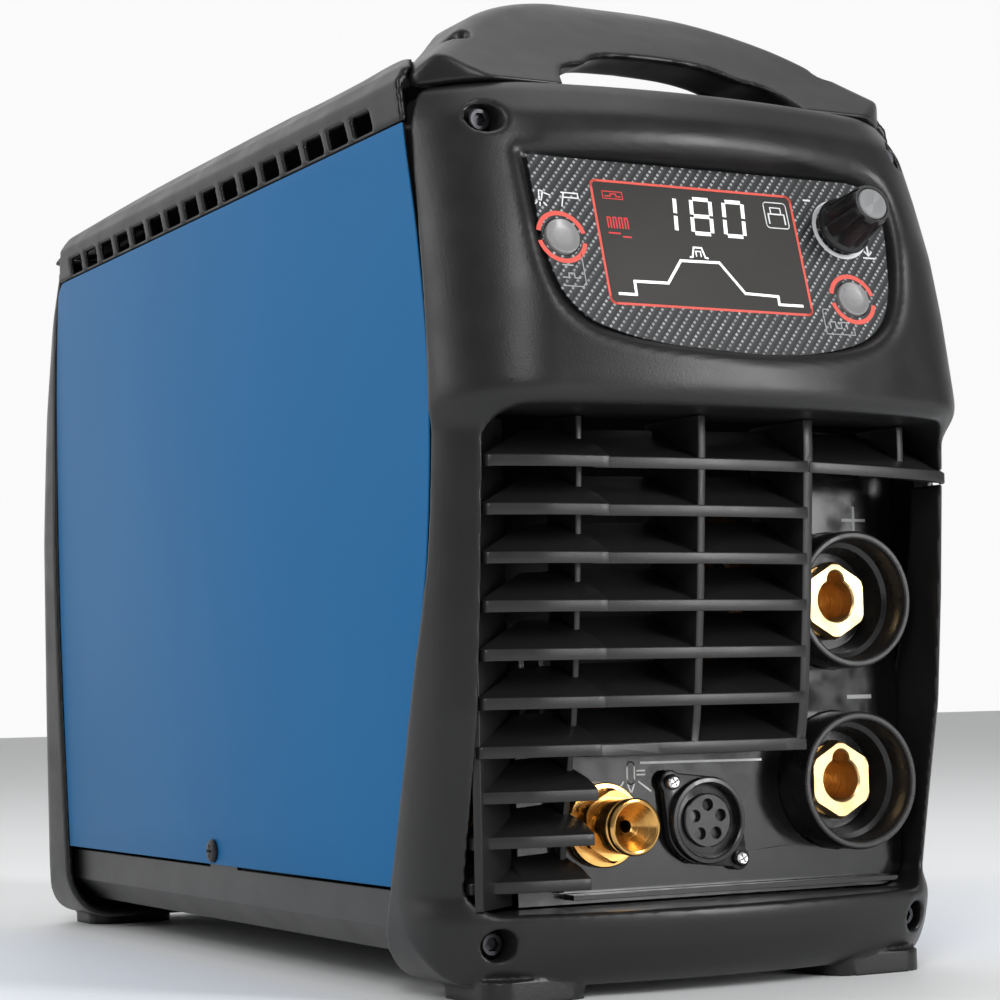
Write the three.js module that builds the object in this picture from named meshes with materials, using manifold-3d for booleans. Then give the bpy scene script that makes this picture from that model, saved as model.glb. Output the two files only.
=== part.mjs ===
// Portable TIG welding machine. Millimetres, +X right, +Y to the rear, +Z up.
// The origin is on the ground under the middle of the machine; the sockets face -Y.
import * as THREE from 'three';
import { mergeVertices } from 'three/addons/utils/BufferGeometryUtils.js';
import { ParametricGeometry } from 'three/addons/geometries/ParametricGeometry.js';
import Module from 'manifold-3d';

const wasm = await Module();
wasm.setup();

// ---- Driving dimensions ----
const HALF_WIDTH = 90;          // outside of the plastic end bezels
const PANEL_X = 88.65;          // outside of the painted side panels
const SHEET = 1.5;              // side panels and base tray
const WALL = 3;                 // plastic mouldings
const GAP = 0.4;                // between neighbouring pieces
const GROUND_GAP = 2.5;         // underside of the bezels above the ground
const BEZEL_TOP = 264.5;
const PANEL_Z = [31.9, 253.5];
const OPENING = { x: 79.5, z0: 25, z1: 167, r: 9 };       // mouth of the lower front
const FRONT_BOW = 262;          // plan radius of the front face
const REAR_BOW = 620;
const FRONT_CORNER = 24;
const REAR_CORNER = 18;
const PLATE_Y = -152.5;         // front of the connector plate
const PLATE_THICK = 3;
const PANEL_TILT = 16;          // degrees the control panel leans back
const PANEL_CENTRE = new THREE.Vector3(0, -185.5, 215);
const SOCKET = { x: 54.5, zPlus: 113.8, zMinus: 58.5, shroudR: 21, lip: -166.5, insertFace: -156,
  boreR: 6.5 };
const GAS_OUTLET = { x: -30, z: 48.1, tip: -173 };
const CONTROL = { x: 4.7, z: 48.1, screw: 11.8 };
const GRILLE_ROWS = { top: 152.4, pitch: 13.65, slats: 7, fins: 3, finPitch: 12.8 };
const BARS_X = [-45, -10.4, 27.8, 67.5];
const FAN = { x: 13, z: 128, size: 119, depth: 25.4, y: 152, hub: 20, bladeR: 56, shaftR: 3 };

// ---- Materials ----
function paint(color, roughness, metalness = 0) {
  return new THREE.MeshStandardMaterial({ color, roughness, metalness });
}

const shellPlastic = () => paint(0x3a3a39, 0.55);
const blackPlastic = () => paint(0x161617, 0.45);
const glossBlack = () => paint(0x0c0c0d, 0.18);
const brass = () => paint(0xd9a441, 0.25, 1);
const steel = () => paint(0x9a9c9e, 0.35, 1);
const darkSteel = () => paint(0x2a2a2c, 0.4, 0.8);

// ---- Solids and booleans ----
function solid(geometry) {
  const bare = geometry.clone();
  bare.deleteAttribute('normal');
  bare.deleteAttribute('uv');
  const merged = mergeVertices(bare, 1e-3);
  const source = merged.index.array;
  const kept = [];
  for (let i = 0; i < source.length; i += 3) {
    const [a, b, c] = [source[i], source[i + 1], source[i + 2]];
    if (a !== b && b !== c && a !== c) kept.push(a, b, c);
  }
  const vertProperties = new Float32Array(merged.attributes.position.array);
  const triVerts = new Uint32Array(kept);
  return new wasm.Manifold(new wasm.Mesh({ numProp: 3, vertProperties, triVerts }));
}

function join(...pieces) {
  return pieces.map(asSolid).reduce((sum, piece) => sum.add(piece));
}

function cut(body, ...tools) {
  return tools.map(asSolid).reduce((rest, tool) => rest.subtract(tool), asSolid(body));
}

function common(...pieces) {
  return pieces.map(asSolid).reduce((rest, piece) => rest.intersect(piece));
}

function asSolid(piece) {
  return piece.isBufferGeometry ? solid(piece) : piece;
}

function toGeometry(piece) {
  const mesh = asSolid(piece).getMesh();
  const geometry = new THREE.BufferGeometry();
  const points = new THREE.BufferAttribute(new Float32Array(mesh.vertProperties), 3);
  geometry.setAttribute('position', points);
  geometry.setIndex(new THREE.BufferAttribute(new Uint32Array(mesh.triVerts), 1));
  geometry.computeVertexNormals();
  return geometry;
}

const welder = new THREE.Group();

function add(name, piece, material, parent = welder) {
  const mesh = new THREE.Mesh(toGeometry(piece), material);
  mesh.name = name;
  parent.add(mesh);
  return mesh;
}

// ---- Shapes ----
function polygon(points) {
  return new THREE.Shape(points.map(([x, y]) => new THREE.Vector2(x, y)));
}

function roundedRect(x0, y0, x1, y1, r) {
  const shape = new THREE.Shape();
  shape.moveTo(x0 + r, y0);
  shape.lineTo(x1 - r, y0);
  shape.absarc(x1 - r, y0 + r, r, -Math.PI / 2, 0);
  shape.lineTo(x1, y1 - r);
  shape.absarc(x1 - r, y1 - r, r, 0, Math.PI / 2);
  shape.lineTo(x0 + r, y1);
  shape.absarc(x0 + r, y1 - r, r, Math.PI / 2, Math.PI);
  shape.lineTo(x0, y0 + r);
  shape.absarc(x0 + r, y0 + r, r, Math.PI, Math.PI * 1.5);
  return shape;
}

function circle(x, y, r) {
  const shape = new THREE.Shape();
  shape.absarc(x, y, r, 0, Math.PI * 2);
  return shape;
}

function hexagon(acrossFlats, turn = 0) {
  const corner = acrossFlats / Math.sqrt(3);
  const points = [];
  for (let i = 0; i < 6; i += 1) {
    const angle = (i * Math.PI) / 3 + turn;
    points.push([corner * Math.cos(angle), corner * Math.sin(angle)]);
  }
  return polygon(points);
}

function extrude(shape, depth, curveSegments = 6) {
  return new THREE.ExtrudeGeometry(shape, { depth, bevelEnabled: false, curveSegments });
}

// A shape drawn in X and Y, standing from z0 to z1.
function prismZ(shape, z0, z1, curveSegments) {
  return extrude(shape, z1 - z0, curveSegments).translate(0, 0, z0);
}

// A shape drawn in X and Z, running from y0 to y1.
function prismY(shape, y0, y1, curveSegments) {
  return extrude(shape, y1 - y0, curveSegments).rotateX(Math.PI / 2).translate(0, y1, 0);
}

// A shape drawn in Y and Z, running from x0 to x1.
const ACROSS = new THREE.Matrix4().makeBasis(
  new THREE.Vector3(0, 1, 0), new THREE.Vector3(0, 0, 1), new THREE.Vector3(1, 0, 0));
function prismX(shape, x0, x1, curveSegments) {
  return extrude(shape, x1 - x0, curveSegments).applyMatrix4(ACROSS).translate(x0, 0, 0);
}

function box(x0, x1, y0, y1, z0, z1) {
  return new THREE.BoxGeometry(x1 - x0, y1 - y0, z1 - z0)
    .translate((x0 + x1) / 2, (y0 + y1) / 2, (z0 + z1) / 2);
}

// A turned piece about an axis along Y through (x, z). The profile lists [radius, y].
function turned(profile, x, z, segments = 32) {
  const points = profile.map(([radius, y]) => new THREE.Vector2(radius, y));
  points.push(points[0].clone());
  return new THREE.LatheGeometry(points, segments).translate(x, 0, z);
}

function rod(radius, y0, y1, x, z, segments = 24) {
  return new THREE.CylinderGeometry(radius, radius, y1 - y0, segments).translate(x, (y0 + y1) / 2, z);
}

function rodZ(radius, z0, z1, x, y, segments = 16) {
  return new THREE.CylinderGeometry(radius, radius, z1 - z0, segments).rotateX(Math.PI / 2)
    .translate(x, y, (z0 + z1) / 2);
}

function rodX(radius, x0, x1, y, z, segments = 12) {
  return new THREE.CylinderGeometry(radius, radius, x1 - x0, segments).rotateZ(Math.PI / 2)
    .translate((x0 + x1) / 2, y, z);
}

function smooth(points, divisions) {
  const curve = new THREE.SplineCurve(points.map(([a, b]) => new THREE.Vector2(a, b)));
  return curve.getPoints(divisions).map((p) => [p.x, p.y]);
}

// The value of a smooth profile of [height, value] stations at one height.
function stationValue(stations, height) {
  if (height <= stations[0][0]) return stations[0][1];
  for (let i = 1; i < stations.length; i += 1) {
    const [h0, v0] = stations[i - 1];
    const [h1, v1] = stations[i];
    if (height <= h1) return v0 + ((v1 - v0) * (height - h0)) / (h1 - h0);
  }
  return stations[stations.length - 1][1];
}

// ---- End bezels: one moulded cap at each end ----
// Profiles list [z, y] of the foremost line; the rear one is drawn facing -Y as well.
const FRONT_PROFILE = [
  [2.5, -170], [8, -175], [23, -180.5], [30, -178], [53, -182.5], [82, -188.8], [115, -192],
  [165, -195.5], [168, -202], [171, -203], [200, -199.2], [219, -195.5], [238, -189.5], [253, -184],
  [264.5, -174],
];
const REAR_PROFILE = [
  [2.5, -192], [8, -196], [23, -199], [80, -201.5], [150, -203], [202, -202.5], [240, -198],
  [264.5, -189],
];
const FRONT_LEVELS = [2.5, 5, 12, 23, 30, 53, 115, 165, 171, 200, 219, 240, 253, 264.5];
const REAR_LEVELS = [2.5, 5, 12, 23, 80, 150, 202, 240, 264.5];
const BOTTOM_RADIUS = 20;

const SHOULDER = { z: 150, narrowing: 1.2, corner: 10 };

// How far up the shoulder a height lies, from 0 at its foot to 1 at the top.
function shoulder(z) {
  return Math.max(0, (z - SHOULDER.z) / (BEZEL_TOP - SHOULDER.z));
}

function halfWidth(z) {
  const low = Math.min(z - GROUND_GAP, BOTTOM_RADIUS);
  const reach = Math.sqrt(BOTTOM_RADIUS ** 2 - (BOTTOM_RADIUS - low) ** 2);
  return HALF_WIDTH - BOTTOM_RADIUS + reach - SHOULDER.narrowing * shoulder(z);
}

// The upright corners grow rounder towards the top.
function cornerRadius(corner, z) {
  return corner + SHOULDER.corner * shoulder(z) ** 1.4;
}

// The outline of a bezel at one height, from the back left round the front to the back right.
function planOutline(w, yFront, bow, corner, yBack) {
  const cx = w - corner;
  const bowY = yFront + bow;
  const cy = bowY - Math.sqrt((bow - corner) ** 2 - cx ** 2);
  const lean = Math.atan2(cx, bowY - cy);
  const right = [];
  for (let i = 0; i <= 3; i += 1) {
    const angle = lean + ((Math.PI / 2 - lean) * i) / 3;
    right.push([cx + corner * Math.sin(angle), cy - corner * Math.cos(angle)]);
  }
  const middle = [];
  for (let i = -1; i <= 1; i += 1) {
    const angle = (lean * i) / 2;
    middle.push([bow * Math.sin(angle), bowY - bow * Math.cos(angle)]);
  }
  const left = right.map(([x, y]) => [-x, y]).reverse();
  return [[-w, yBack], ...left, ...middle, ...right, [w, yBack]];
}

// A closed solid through the outlines at the given heights.
function loft(levels, outlineAt) {
  const rings = levels.map((z) => outlineAt(z).map(([x, y]) => [x, y, z]));
  const middle = (ring) => {
    const y = (Math.min(...ring.map((p) => p[1])) + Math.max(...ring.map((p) => p[1]))) / 2;
    return ring.map(() => [0, y, ring[0][2]]);
  };
  const stack = [middle(rings[0]), ...rings, middle(rings[rings.length - 1])];
  const around = rings[0].length;
  const surface = (u, v, target) => {
    const ring = stack[Math.round(v * (stack.length - 1))];
    target.set(...ring[Math.round(u * around) % around]);
  };
  return new ParametricGeometry(surface, around, stack.length - 1);
}

function bezelBlock(profile, levels, bow, corner, inset, yBack) {
  const bottom = GROUND_GAP + inset;
  const top = BEZEL_TOP - inset;
  const inner = levels.filter((z, i) => z > bottom + 1 && z < top - 1 && (inset === 0 || i % 2 === 1));
  return loft([bottom, ...inner, top], (z) => {
    const outside = inset ? Math.min(Math.max(z, bottom + 1.5), top) : z;
    const yFront = stationValue(profile, z) + inset;
    const rounding = cornerRadius(corner, z) - inset;
    return planOutline(halfWidth(outside) - inset, yFront, bow - inset, rounding, yBack);
  });
}

// Seams between the bezels and the side panels, as [y, z] points from the ground up.
const FRONT_SEAM = smooth([
  [-120, -6], [-132.5, 32], [-148, 86], [-158.5, 125], [-162, 173], [-157, 215], [-148, 253.5],
  [-138, 300],
], 11);
const REAR_SEAM = smooth([
  [150, -6], [156.7, 32], [166, 120], [168.5, 200], [165.3, 253.5], [158, 300],
], 7);

// Everything in front of the front seam, and everything behind the rear seam.
function frontRegion(offset) {
  const seam = FRONT_SEAM.map(([y, z]) => [y + offset, z]);
  return prismX(polygon([[-260, -6], ...seam, [-260, 300]]), -120, 120);
}

function rearRegion(offset) {
  const seam = REAR_SEAM.map(([y, z]) => [y + offset, z]);
  return prismX(polygon([...seam, [260, 300], [260, -6]].reverse()), -120, 120);
}

// Maps a shape drawn flat on the control panel to its place in the hood.
const PANEL_FRAME = new THREE.Matrix4()
  .makeRotationX(THREE.MathUtils.degToRad(90 - PANEL_TILT))
  .setPosition(PANEL_CENTRE);
function onPanel(shape, depth0, depth1, curveSegments) {
  return prismZ(shape, depth0, depth1, curveSegments).applyMatrix4(PANEL_FRAME);
}

// The control panel's outline: a wide D with its round side down.
const PANEL_EDGE = [
  [-64.6, 26.5], [-64.5, 14], [-63.7, -2.5], [-60.6, -15.6], [-54.1, -23.7], [-45.9, -27.7],
  [-30.9, -31.1], [-4.3, -33.5], [10.5, -33.3], [24, -32], [36.4, -29.1], [43.6, -25.8],
  [48.8, -21.4], [52.4, -15.6], [55, -8], [57, 4], [57.8, 13], [56.6, 20.5], [52.6, 25], [46, 26.5],
];

// A counterclockwise outline moved outwards by `grow` all round.
function spread(points, grow) {
  const count = points.length;
  return points.map(([x, y], i) => {
    const before = points[(i + count - 1) % count];
    const after = points[(i + 1) % count];
    const run = after[0] - before[0];
    const rise = after[1] - before[1];
    const share = grow / Math.hypot(run, rise);
    return [x + rise * share, y - run * share];
  });
}

function panelOutline(grow) {
  return polygon(spread(smooth(PANEL_EDGE, 32), grow));
}

const DISPLAY = { x0: -44.5, x1: 24.3, y0: -19.2, y1: 19.4 };
const ENCODER = { x: 40.6, y: 9.8 };
const BUTTONS = [
  { name: 'process_button', x: -57.2, y: 0.4 },
  { name: 'mode_button', x: 40.1, y: -13.2 },
];
const BUTTON_R = 5.5;
const LABEL = 0.8;              // thickness of the printed label
const BEZEL_SCREWS = [[-72, 252], [72, 252], [-72, 16.7], [72, 16.7]];
const BEZEL_SCREW_HOLE = 4.5;
const SCREW_PILOT = 2.3;
const screwY = (z) => (z > 100 ? -163 : -160);

function panelHoles(depth0, depth1, slack) {
  const encoder = onPanel(circle(ENCODER.x, ENCODER.y, 3.6 + slack), depth0, depth1, 12);
  const buttons = BUTTONS.map(({ x, y }) =>
    onPanel(circle(x, y, BUTTON_R + slack), depth0, depth1, 12));
  const { x0, x1, y0, y1 } = DISPLAY;
  const outline = roundedRect(x0 - slack, y0 - slack, x1 + slack, y1 + slack, 1.5);
  return [encoder, ...buttons, onPanel(outline, depth0, depth1, 2)];
}

const FOOT = { inner: 42, outer: 76, r: 8 };

function footPads(y0, y1) {
  const { inner, outer, r } = FOOT;
  return [[-outer, -inner], [inner, outer]].map(([x0, x1]) =>
    prismZ(roundedRect(x0, y0, x1, y1, r), 0, GROUND_GAP + 1, 3));
}

// A frame 2.5 mm thick round a rectangular mouth, from y0 to y1.
function mouthSleeve({ x, z0, z1, r }, y0, y1) {
  const thick = 2.5;
  const outline = roundedRect(-x - thick, z0 - thick, x + thick, z1 + thick, r + thick);
  return prismY(outline, y0, y1, 3);
}

function buildFrontBezel() {
  const outer = solid(bezelBlock(FRONT_PROFILE, FRONT_LEVELS, FRONT_BOW, FRONT_CORNER, 0, -100));
  const inner = solid(bezelBlock(FRONT_PROFILE, FRONT_LEVELS, FRONT_BOW, FRONT_CORNER, WALL, -90));
  const { x, z0, z1, r } = OPENING;
  const mouth = prismY(roundedRect(-x, z0, x, z1, r), -230, -130, 3);
  const sleeve = mouthSleeve(OPENING, -230, PLATE_Y + PLATE_THICK);
  const pocket = onPanel(panelOutline(2.5), -2.8, 60, 4);
  const bosses = BEZEL_SCREWS.map(([sx, sz]) => rod(7, -215, screwY(sz) + 6, sx, sz, 12));
  const extras = common(join(sleeve, pocket, ...bosses), outer);
  let body = join(cut(outer, inner), extras);
  body = cut(body, mouth, onPanel(panelOutline(0), -LABEL, 60, 4), ...panelHoles(-9, 5, 0.35));
  for (const [sx, sz] of BEZEL_SCREWS) {
    const hole = rod(BEZEL_SCREW_HOLE, -215, screwY(sz), sx, sz, 12);
    body = cut(body, hole, rod(SCREW_PILOT, -215, screwY(sz) + 8, sx, sz, 6));
  }
  const notch = box(78, 95, -200, -160, GRILLE_ROWS.top - 4.2, GRILLE_ROWS.top + 2.2);
  body = common(cut(body, notch), frontRegion(-GAP / 2));
  body = join(body, ...footPads(-168, -134));
  return body;
}

// A piece drawn facing -Y, turned half round to face +Y.
const halfTurn = (geometry) => geometry.rotateZ(Math.PI);

const REAR_MOUTH = { x: 74, z0: 20, z1: 248, r: 14 };
const REAR_SCREWS = [[-80, 236], [80, 236], [-80, 30], [80, 30]];
const REAR_PLATE_Y = 186;

function buildRearBezel() {
  const outer = solid(halfTurn(bezelBlock(REAR_PROFILE, REAR_LEVELS, REAR_BOW, REAR_CORNER, 0, -100)));
  const inner = solid(halfTurn(bezelBlock(REAR_PROFILE, REAR_LEVELS, REAR_BOW, REAR_CORNER, WALL, -90)));
  const { x, z0, z1, r } = REAR_MOUTH;
  const mouth = prismY(roundedRect(-x, z0, x, z1, r), 120, 230, 3);
  const sleeve = mouthSleeve(REAR_MOUTH, REAR_PLATE_Y, 230);
  const bosses = REAR_SCREWS.map(([sx, sz]) => rod(6, 172, 215, sx, sz, 12));
  let body = join(cut(outer, inner), common(join(sleeve, ...bosses), outer));
  body = cut(body, mouth);
  for (const [sx, sz] of REAR_SCREWS) {
    body = cut(body, rod(3.6, 188, 215, sx, sz, 12), rod(SCREW_PILOT, 165, 215, sx, sz, 8));
  }
  body = common(body, rearRegion(GAP / 2));
  return join(body, ...footPads(165, 193));
}

// A pan-head screw whose head lies at yHead and whose shank runs into the machine along `into`.
function screwAlongY(x, z, yHead, into, headR = 3.6, shankR = 2, length = 8) {
  const along = (radius, end, segments) =>
    rod(radius, Math.min(yHead, end), Math.max(yHead, end), x, z, segments);
  const head = along(headR, yHead + into * 2.2, 10);
  const shank = along(shankR, yHead + into * length, 6);
  const slot = box(x - headR * 0.6, x + headR * 0.6, yHead - 1, yHead + 1, z - 0.5, z + 0.5);
  return cut(join(head, shank), slot);
}

// ---- Front grille: sloping louvres with a row of proud fins on the left ----
const SLAT_SLOPE = Math.tan(THREE.MathUtils.degToRad(28));
const SLAT = { front: 3.4, depth: 22, setBack: 11.5, proud: 2.5 };
const FIN_END = -41.3;
const BAR_SHOULDER = 158;       // above this height the bars' fronts are plumb
const TOP_SLAT_FALL = 0.03;     // how much the top slat falls towards its right end

function slatRows() {
  const rows = [];
  for (let i = 0; i < GRILLE_ROWS.slats; i += 1) {
    rows.push(GRILLE_ROWS.top - i * GRILLE_ROWS.pitch);
  }
  const last = rows[rows.length - 1];
  for (let i = 1; i <= GRILLE_ROWS.fins; i += 1) rows.push(last - i * GRILLE_ROWS.finPitch);
  return rows;
}

function grilleFront(z, x) {
  return stationValue(FRONT_PROFILE, z) + SLAT.setBack + (x * x) / (2 * FRONT_BOW);
}

// A louvre drawn in plan. Its front edge is level, and the blade rises behind it.
// The edge is the plan's first `edgeCount` points, from left to right.
function louvre(plan, z, edgeCount, fall = 0) {
  const blade = prismZ(polygon(plan), z - SLAT.front / 2, z + SLAT.front / 2);
  const edge = plan.slice(0, edgeCount);
  const position = blade.attributes.position;
  for (let i = 0; i < position.count; i += 1) {
    const x = position.getX(i);
    const behind = Math.max(0, position.getY(i) - stationValue(edge, x));
    position.setZ(i, position.getZ(i) + behind * SLAT_SLOPE - Math.max(0, x - 28) * fall);
  }
  return blade;
}

function slatPlan(z, x0, x1) {
  const front = [];
  const steps = 6;
  for (let i = 0; i <= steps; i += 1) {
    const x = x0 + ((x1 - x0) * i) / steps;
    front.push([x, grilleFront(z, x)]);
  }
  const back = grilleFront(z, 0) + SLAT.depth;
  return [...front, [x1, back], [x0, back]];
}

function finPlan(z) {
  const y = grilleFront(z, -40) - SLAT.proud;
  return [[-78.2, y + 9], [-77.6, y + 6.4], [-74.5, y + 5.2], [-58, y + 1.4], [FIN_END, y],
    [FIN_END, y + 6], [FIN_END - 4, y + 16], [FIN_END - 4, y + 18], [-60, y + 18]];
}

// The top slat runs on to the right and ends in front of the right column.
function topSlatPlan(z) {
  const y = grilleFront(z, 28);
  return [[28, y], [50, y - 0.4], [70, y + 1], [80, y + 3.6], [83.6, y + 6.5], [84.4, y + 10],
    [80, y + 12], [78, y + 24], [28, y + 24]];
}

// An upright bar whose front edge lies `recess` behind the slats.
function grilleBar(x, width, z0, z1, recess, backY) {
  const setBack = SLAT.setBack + recess;
  const foot = [stationValue(FRONT_PROFILE, z0) + setBack, z0];
  const plumb = stationValue(FRONT_PROFILE, BAR_SHOULDER) + setBack;
  const profile = polygon([foot, [backY, z0], [backY, z1], [plumb, z1], [plumb, BAR_SHOULDER]]);
  return prismX(profile, x - width / 2, x + width / 2);
}

function grilleBars(top, bottom, foot, backY) {
  const roof = OPENING.z1 - GAP;
  const footFront = grilleFront(bottom, 0) + 1;
  const footBar = polygon([
    [footFront, bottom - 1.7], [backY, bottom - 1.7], [backY, bottom + 1.3], [footFront, bottom + 1.3]]);
  const cheek = polygon([[-79.1, -166], [-77, -167], [-61, backY - 2], [-61, backY], [-64, backY]]);
  return [
    grilleBar(BARS_X[0], 2, foot - 3, roof, 12, backY),
    grilleBar(BARS_X[1], 2.6, bottom, roof, 0.6, backY),
    grilleBar(BARS_X[2], 3.4, bottom, roof, 1.8, backY),
    grilleBar(BARS_X[3], 2.4, top, roof, 9.5, backY),
    prismX(footBar, BARS_X[0], BARS_X[2] + 1.7),
    prismZ(cheek, OPENING.z0 + GAP + 1, roof, 3),
  ];
}

function buildGrille() {
  const rows = slatRows();
  const backY = PLATE_Y - GAP;
  const pieces = rows.map((z) => louvre(finPlan(z), z, 5));
  rows.slice(0, GRILLE_ROWS.slats).forEach((z) => {
    pieces.push(louvre(slatPlan(z, BARS_X[0], BARS_X[2]), z, 7));
  });
  const top = rows[0];
  const bottom = rows[GRILLE_ROWS.slats - 1];
  const foot = rows[rows.length - 1];
  pieces.push(louvre(topSlatPlan(top), top, 5, TOP_SLAT_FALL));
  pieces.push(...grilleBars(top, bottom, foot, backY));
  const { x, z0, z1, r } = OPENING;
  const mouth = prismY(roundedRect(-x + GAP, z0 + GAP, x - GAP, z1 - GAP, r - GAP), -230, -130, 3);
  const lip = box(70, 95, -200, -160.4, top - 3.8, top + 1.8);
  const behind = box(-59, 100, backY, -100, 0, bottom + 4);
  return cut(common(join(...pieces), join(mouth, lip)), behind);
}

// ---- Connector plate, sockets, gas outlet and control connector ----
function buildConnectorPlate() {
  const rows = slatRows();
  const plateTop = OPENING.z1 - GAP;
  const shelf = rows[GRILLE_ROWS.slats - 1] + 1;
  const left = -58;
  const right = OPENING.x - GAP;
  const bottom = OPENING.z0 + GAP;
  const column = 31;
  const outline = polygon([[left, bottom], [right, bottom], [right, plateTop], [column, plateTop],
    [column, shelf], [left, shelf]]);
  const plate = prismY(outline, PLATE_Y, PLATE_Y + PLATE_THICK);
  const holes = [SOCKET.zPlus, SOCKET.zMinus].map((z) =>
    rod(SOCKET.shroudR + GAP, -160, -145, SOCKET.x, z, 24));
  const gas = rod(6.9, -160, -145, GAS_OUTLET.x, GAS_OUTLET.z);
  const control = rod(12.4, -160, -145, CONTROL.x, CONTROL.z);
  const controlScrews = [-1, 1].map((side) =>
    rod(1.5, -160, -145, CONTROL.x + side * CONTROL.screw, CONTROL.z - side * CONTROL.screw, 8));
  const mouth = roundedRect(-right, bottom, right, plateTop, OPENING.r - GAP);
  const lip = box(-43, 73, PLATE_Y - 6, PLATE_Y + 1, bottom + 1.6, bottom + 3.2);
  const body = cut(join(plate, lip), ...holes, gas, control, ...controlScrews);
  return common(body, prismY(mouth, -200, -100, 4));
}

function buildShroud(z) {
  const { shroudR, lip } = SOCKET;
  const back = PLATE_Y + PLATE_THICK + GAP;
  return turned([
    [shroudR, lip + 0.8], [shroudR, back], [shroudR + 3.2, back], [shroudR + 3.2, back + 3],
    [15.5, back + 3], [15.5, back + 22], [11.4, back + 22], [11.4, -150], [14.8, -150], [18.2, -158],
    [18.2, lip + 0.8], [18.9, lip], [20.4, lip],
  ], SOCKET.x, z, 22);
}

function keyedBore(z, depth) {
  const bore = rod(SOCKET.boreR, -160, depth, SOCKET.x, z, 28);
  const key = rod(3.1, -160, depth, SOCKET.x, z + SOCKET.boreR - 0.4, 18);
  return [bore, key];
}

function buildInsert(z) {
  const hex = prismY(hexagon(21, Math.PI / 6), SOCKET.insertFace, -150.4).translate(SOCKET.x, 0, z);
  const body = rod(11, -151, -122, SOCKET.x, z, 32);
  return cut(join(hex, body), ...keyedBore(z, -127));
}

function buildGasOutlet() {
  const { x, z, tip } = GAS_OUTLET;
  const barrel = turned([[7.6, tip], [8.3, tip + 0.8], [8.3, -160], [12.5, -155.6], [12.5, PLATE_Y - 0.3],
    [6.5, PLATE_Y - 0.3], [6.5, -138], [1.9, -138], [1.9, tip + 6], [6.7, tip]], x, z, 22);
  const hex = prismY(hexagon(19, Math.PI / 6), -161, -155).translate(x, 0, z);
  return join(barrel, cut(hex, rod(6, -170, -150, x, z)));
}

function controlFlange(z0) {
  const reach = CONTROL.screw;
  const shape = new THREE.Shape();
  const lobe = 3.6;
  shape.absarc(-reach, reach, lobe, Math.PI * 0.25, Math.PI * 1.25);
  shape.absarc(0, 0, 13.6, Math.PI * 1.12, Math.PI * 1.38);
  shape.absarc(reach, -reach, lobe, Math.PI * 1.25, Math.PI * 2.25);
  shape.absarc(0, 0, 13.6, Math.PI * 0.12, Math.PI * 0.38);
  shape.closePath();
  return prismY(shape, z0, PLATE_Y - 0.3, 6).translate(CONTROL.x, 0, CONTROL.z);
}

function buildControlShell() {
  const { x, z, screw } = CONTROL;
  const flange = controlFlange(-155.4);
  const collar = rod(12.8, -158, -155, x, z, 24);
  const barrel = rod(12, -155, -136, x, z, 24);
  const holes = [-1, 1].map((side) => rod(1.5, -160, -150, x + side * screw, z - side * screw, 8));
  const seat = join(rod(11, -160, -140, x, z, 24), rod(7.9, -141, -130, x, z, 20));
  return cut(join(flange, collar, barrel), seat, ...holes);
}

function buildControlInsert() {
  const { x, z } = CONTROL;
  let body = join(rod(8.1, -157, -140.4, x, z, 28), rod(7.5, -141, -132, x, z, 24));
  for (let i = 0; i < 5; i += 1) {
    const angle = (i * Math.PI * 2) / 5 + Math.PI / 2;
    body = cut(body, rod(1.35, -160, -146, x + 4.9 * Math.cos(angle), z + 4.9 * Math.sin(angle), 8));
  }
  return cut(body, box(x - 1, x + 1, -160, -148, z - 9, z - 7));
}

// ---- Control panel ----
function panelGroup() {
  const group = new THREE.Group();
  group.position.copy(PANEL_CENTRE);
  group.rotation.x = THREE.MathUtils.degToRad(90 - PANEL_TILT);
  welder.add(group);
  return group;
}

// A turned piece that stands on the panel at (x, y). The profile lists [radius, z].
function standing(profile, x, y, segments = 20) {
  const points = profile.map(([r, z]) => new THREE.Vector2(r, z));
  return new THREE.LatheGeometry(points, segments).rotateX(Math.PI / 2).translate(x, y, 0);
}

function buildLabel() {
  const { x0, x1, y0, y1 } = DISPLAY;
  const slack = 0.3;
  const holes = [
    rodZ(3.9, -3, 3, ENCODER.x, ENCODER.y, 24),
    ...BUTTONS.map(({ x, y }) => rodZ(BUTTON_R + 0.35, -3, 3, x, y, 24)),
    prismZ(roundedRect(x0 - slack, y0 - slack, x1 + slack, y1 + slack, 1.5), -3, 3, 2),
  ];
  return cut(prismZ(panelOutline(-0.4), -LABEL + 0.3, 0.3, 4), ...holes);
}

function buildControlBoard() {
  const { x0, x1, y0, y1 } = DISPLAY;
  const board = prismZ(roundedRect(-66, -24, 56, 22, 2), -12.6, -11, 2);
  return join(board, box(x0 + 2, x1 - 2, y0 + 2, y1 - 2, -11, -4.6));
}

function buildEncoderBody() {
  const { x, y } = ENCODER;
  const can = prismZ(roundedRect(x - 6, y - 6, x + 6, y + 6, 0.8), -10.6, -4.6, 1);
  return cut(join(can, rodZ(3.2, -5, 0.6, x, y, 24)), rodZ(2.2, -9.6, 2, x, y, 24));
}

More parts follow.
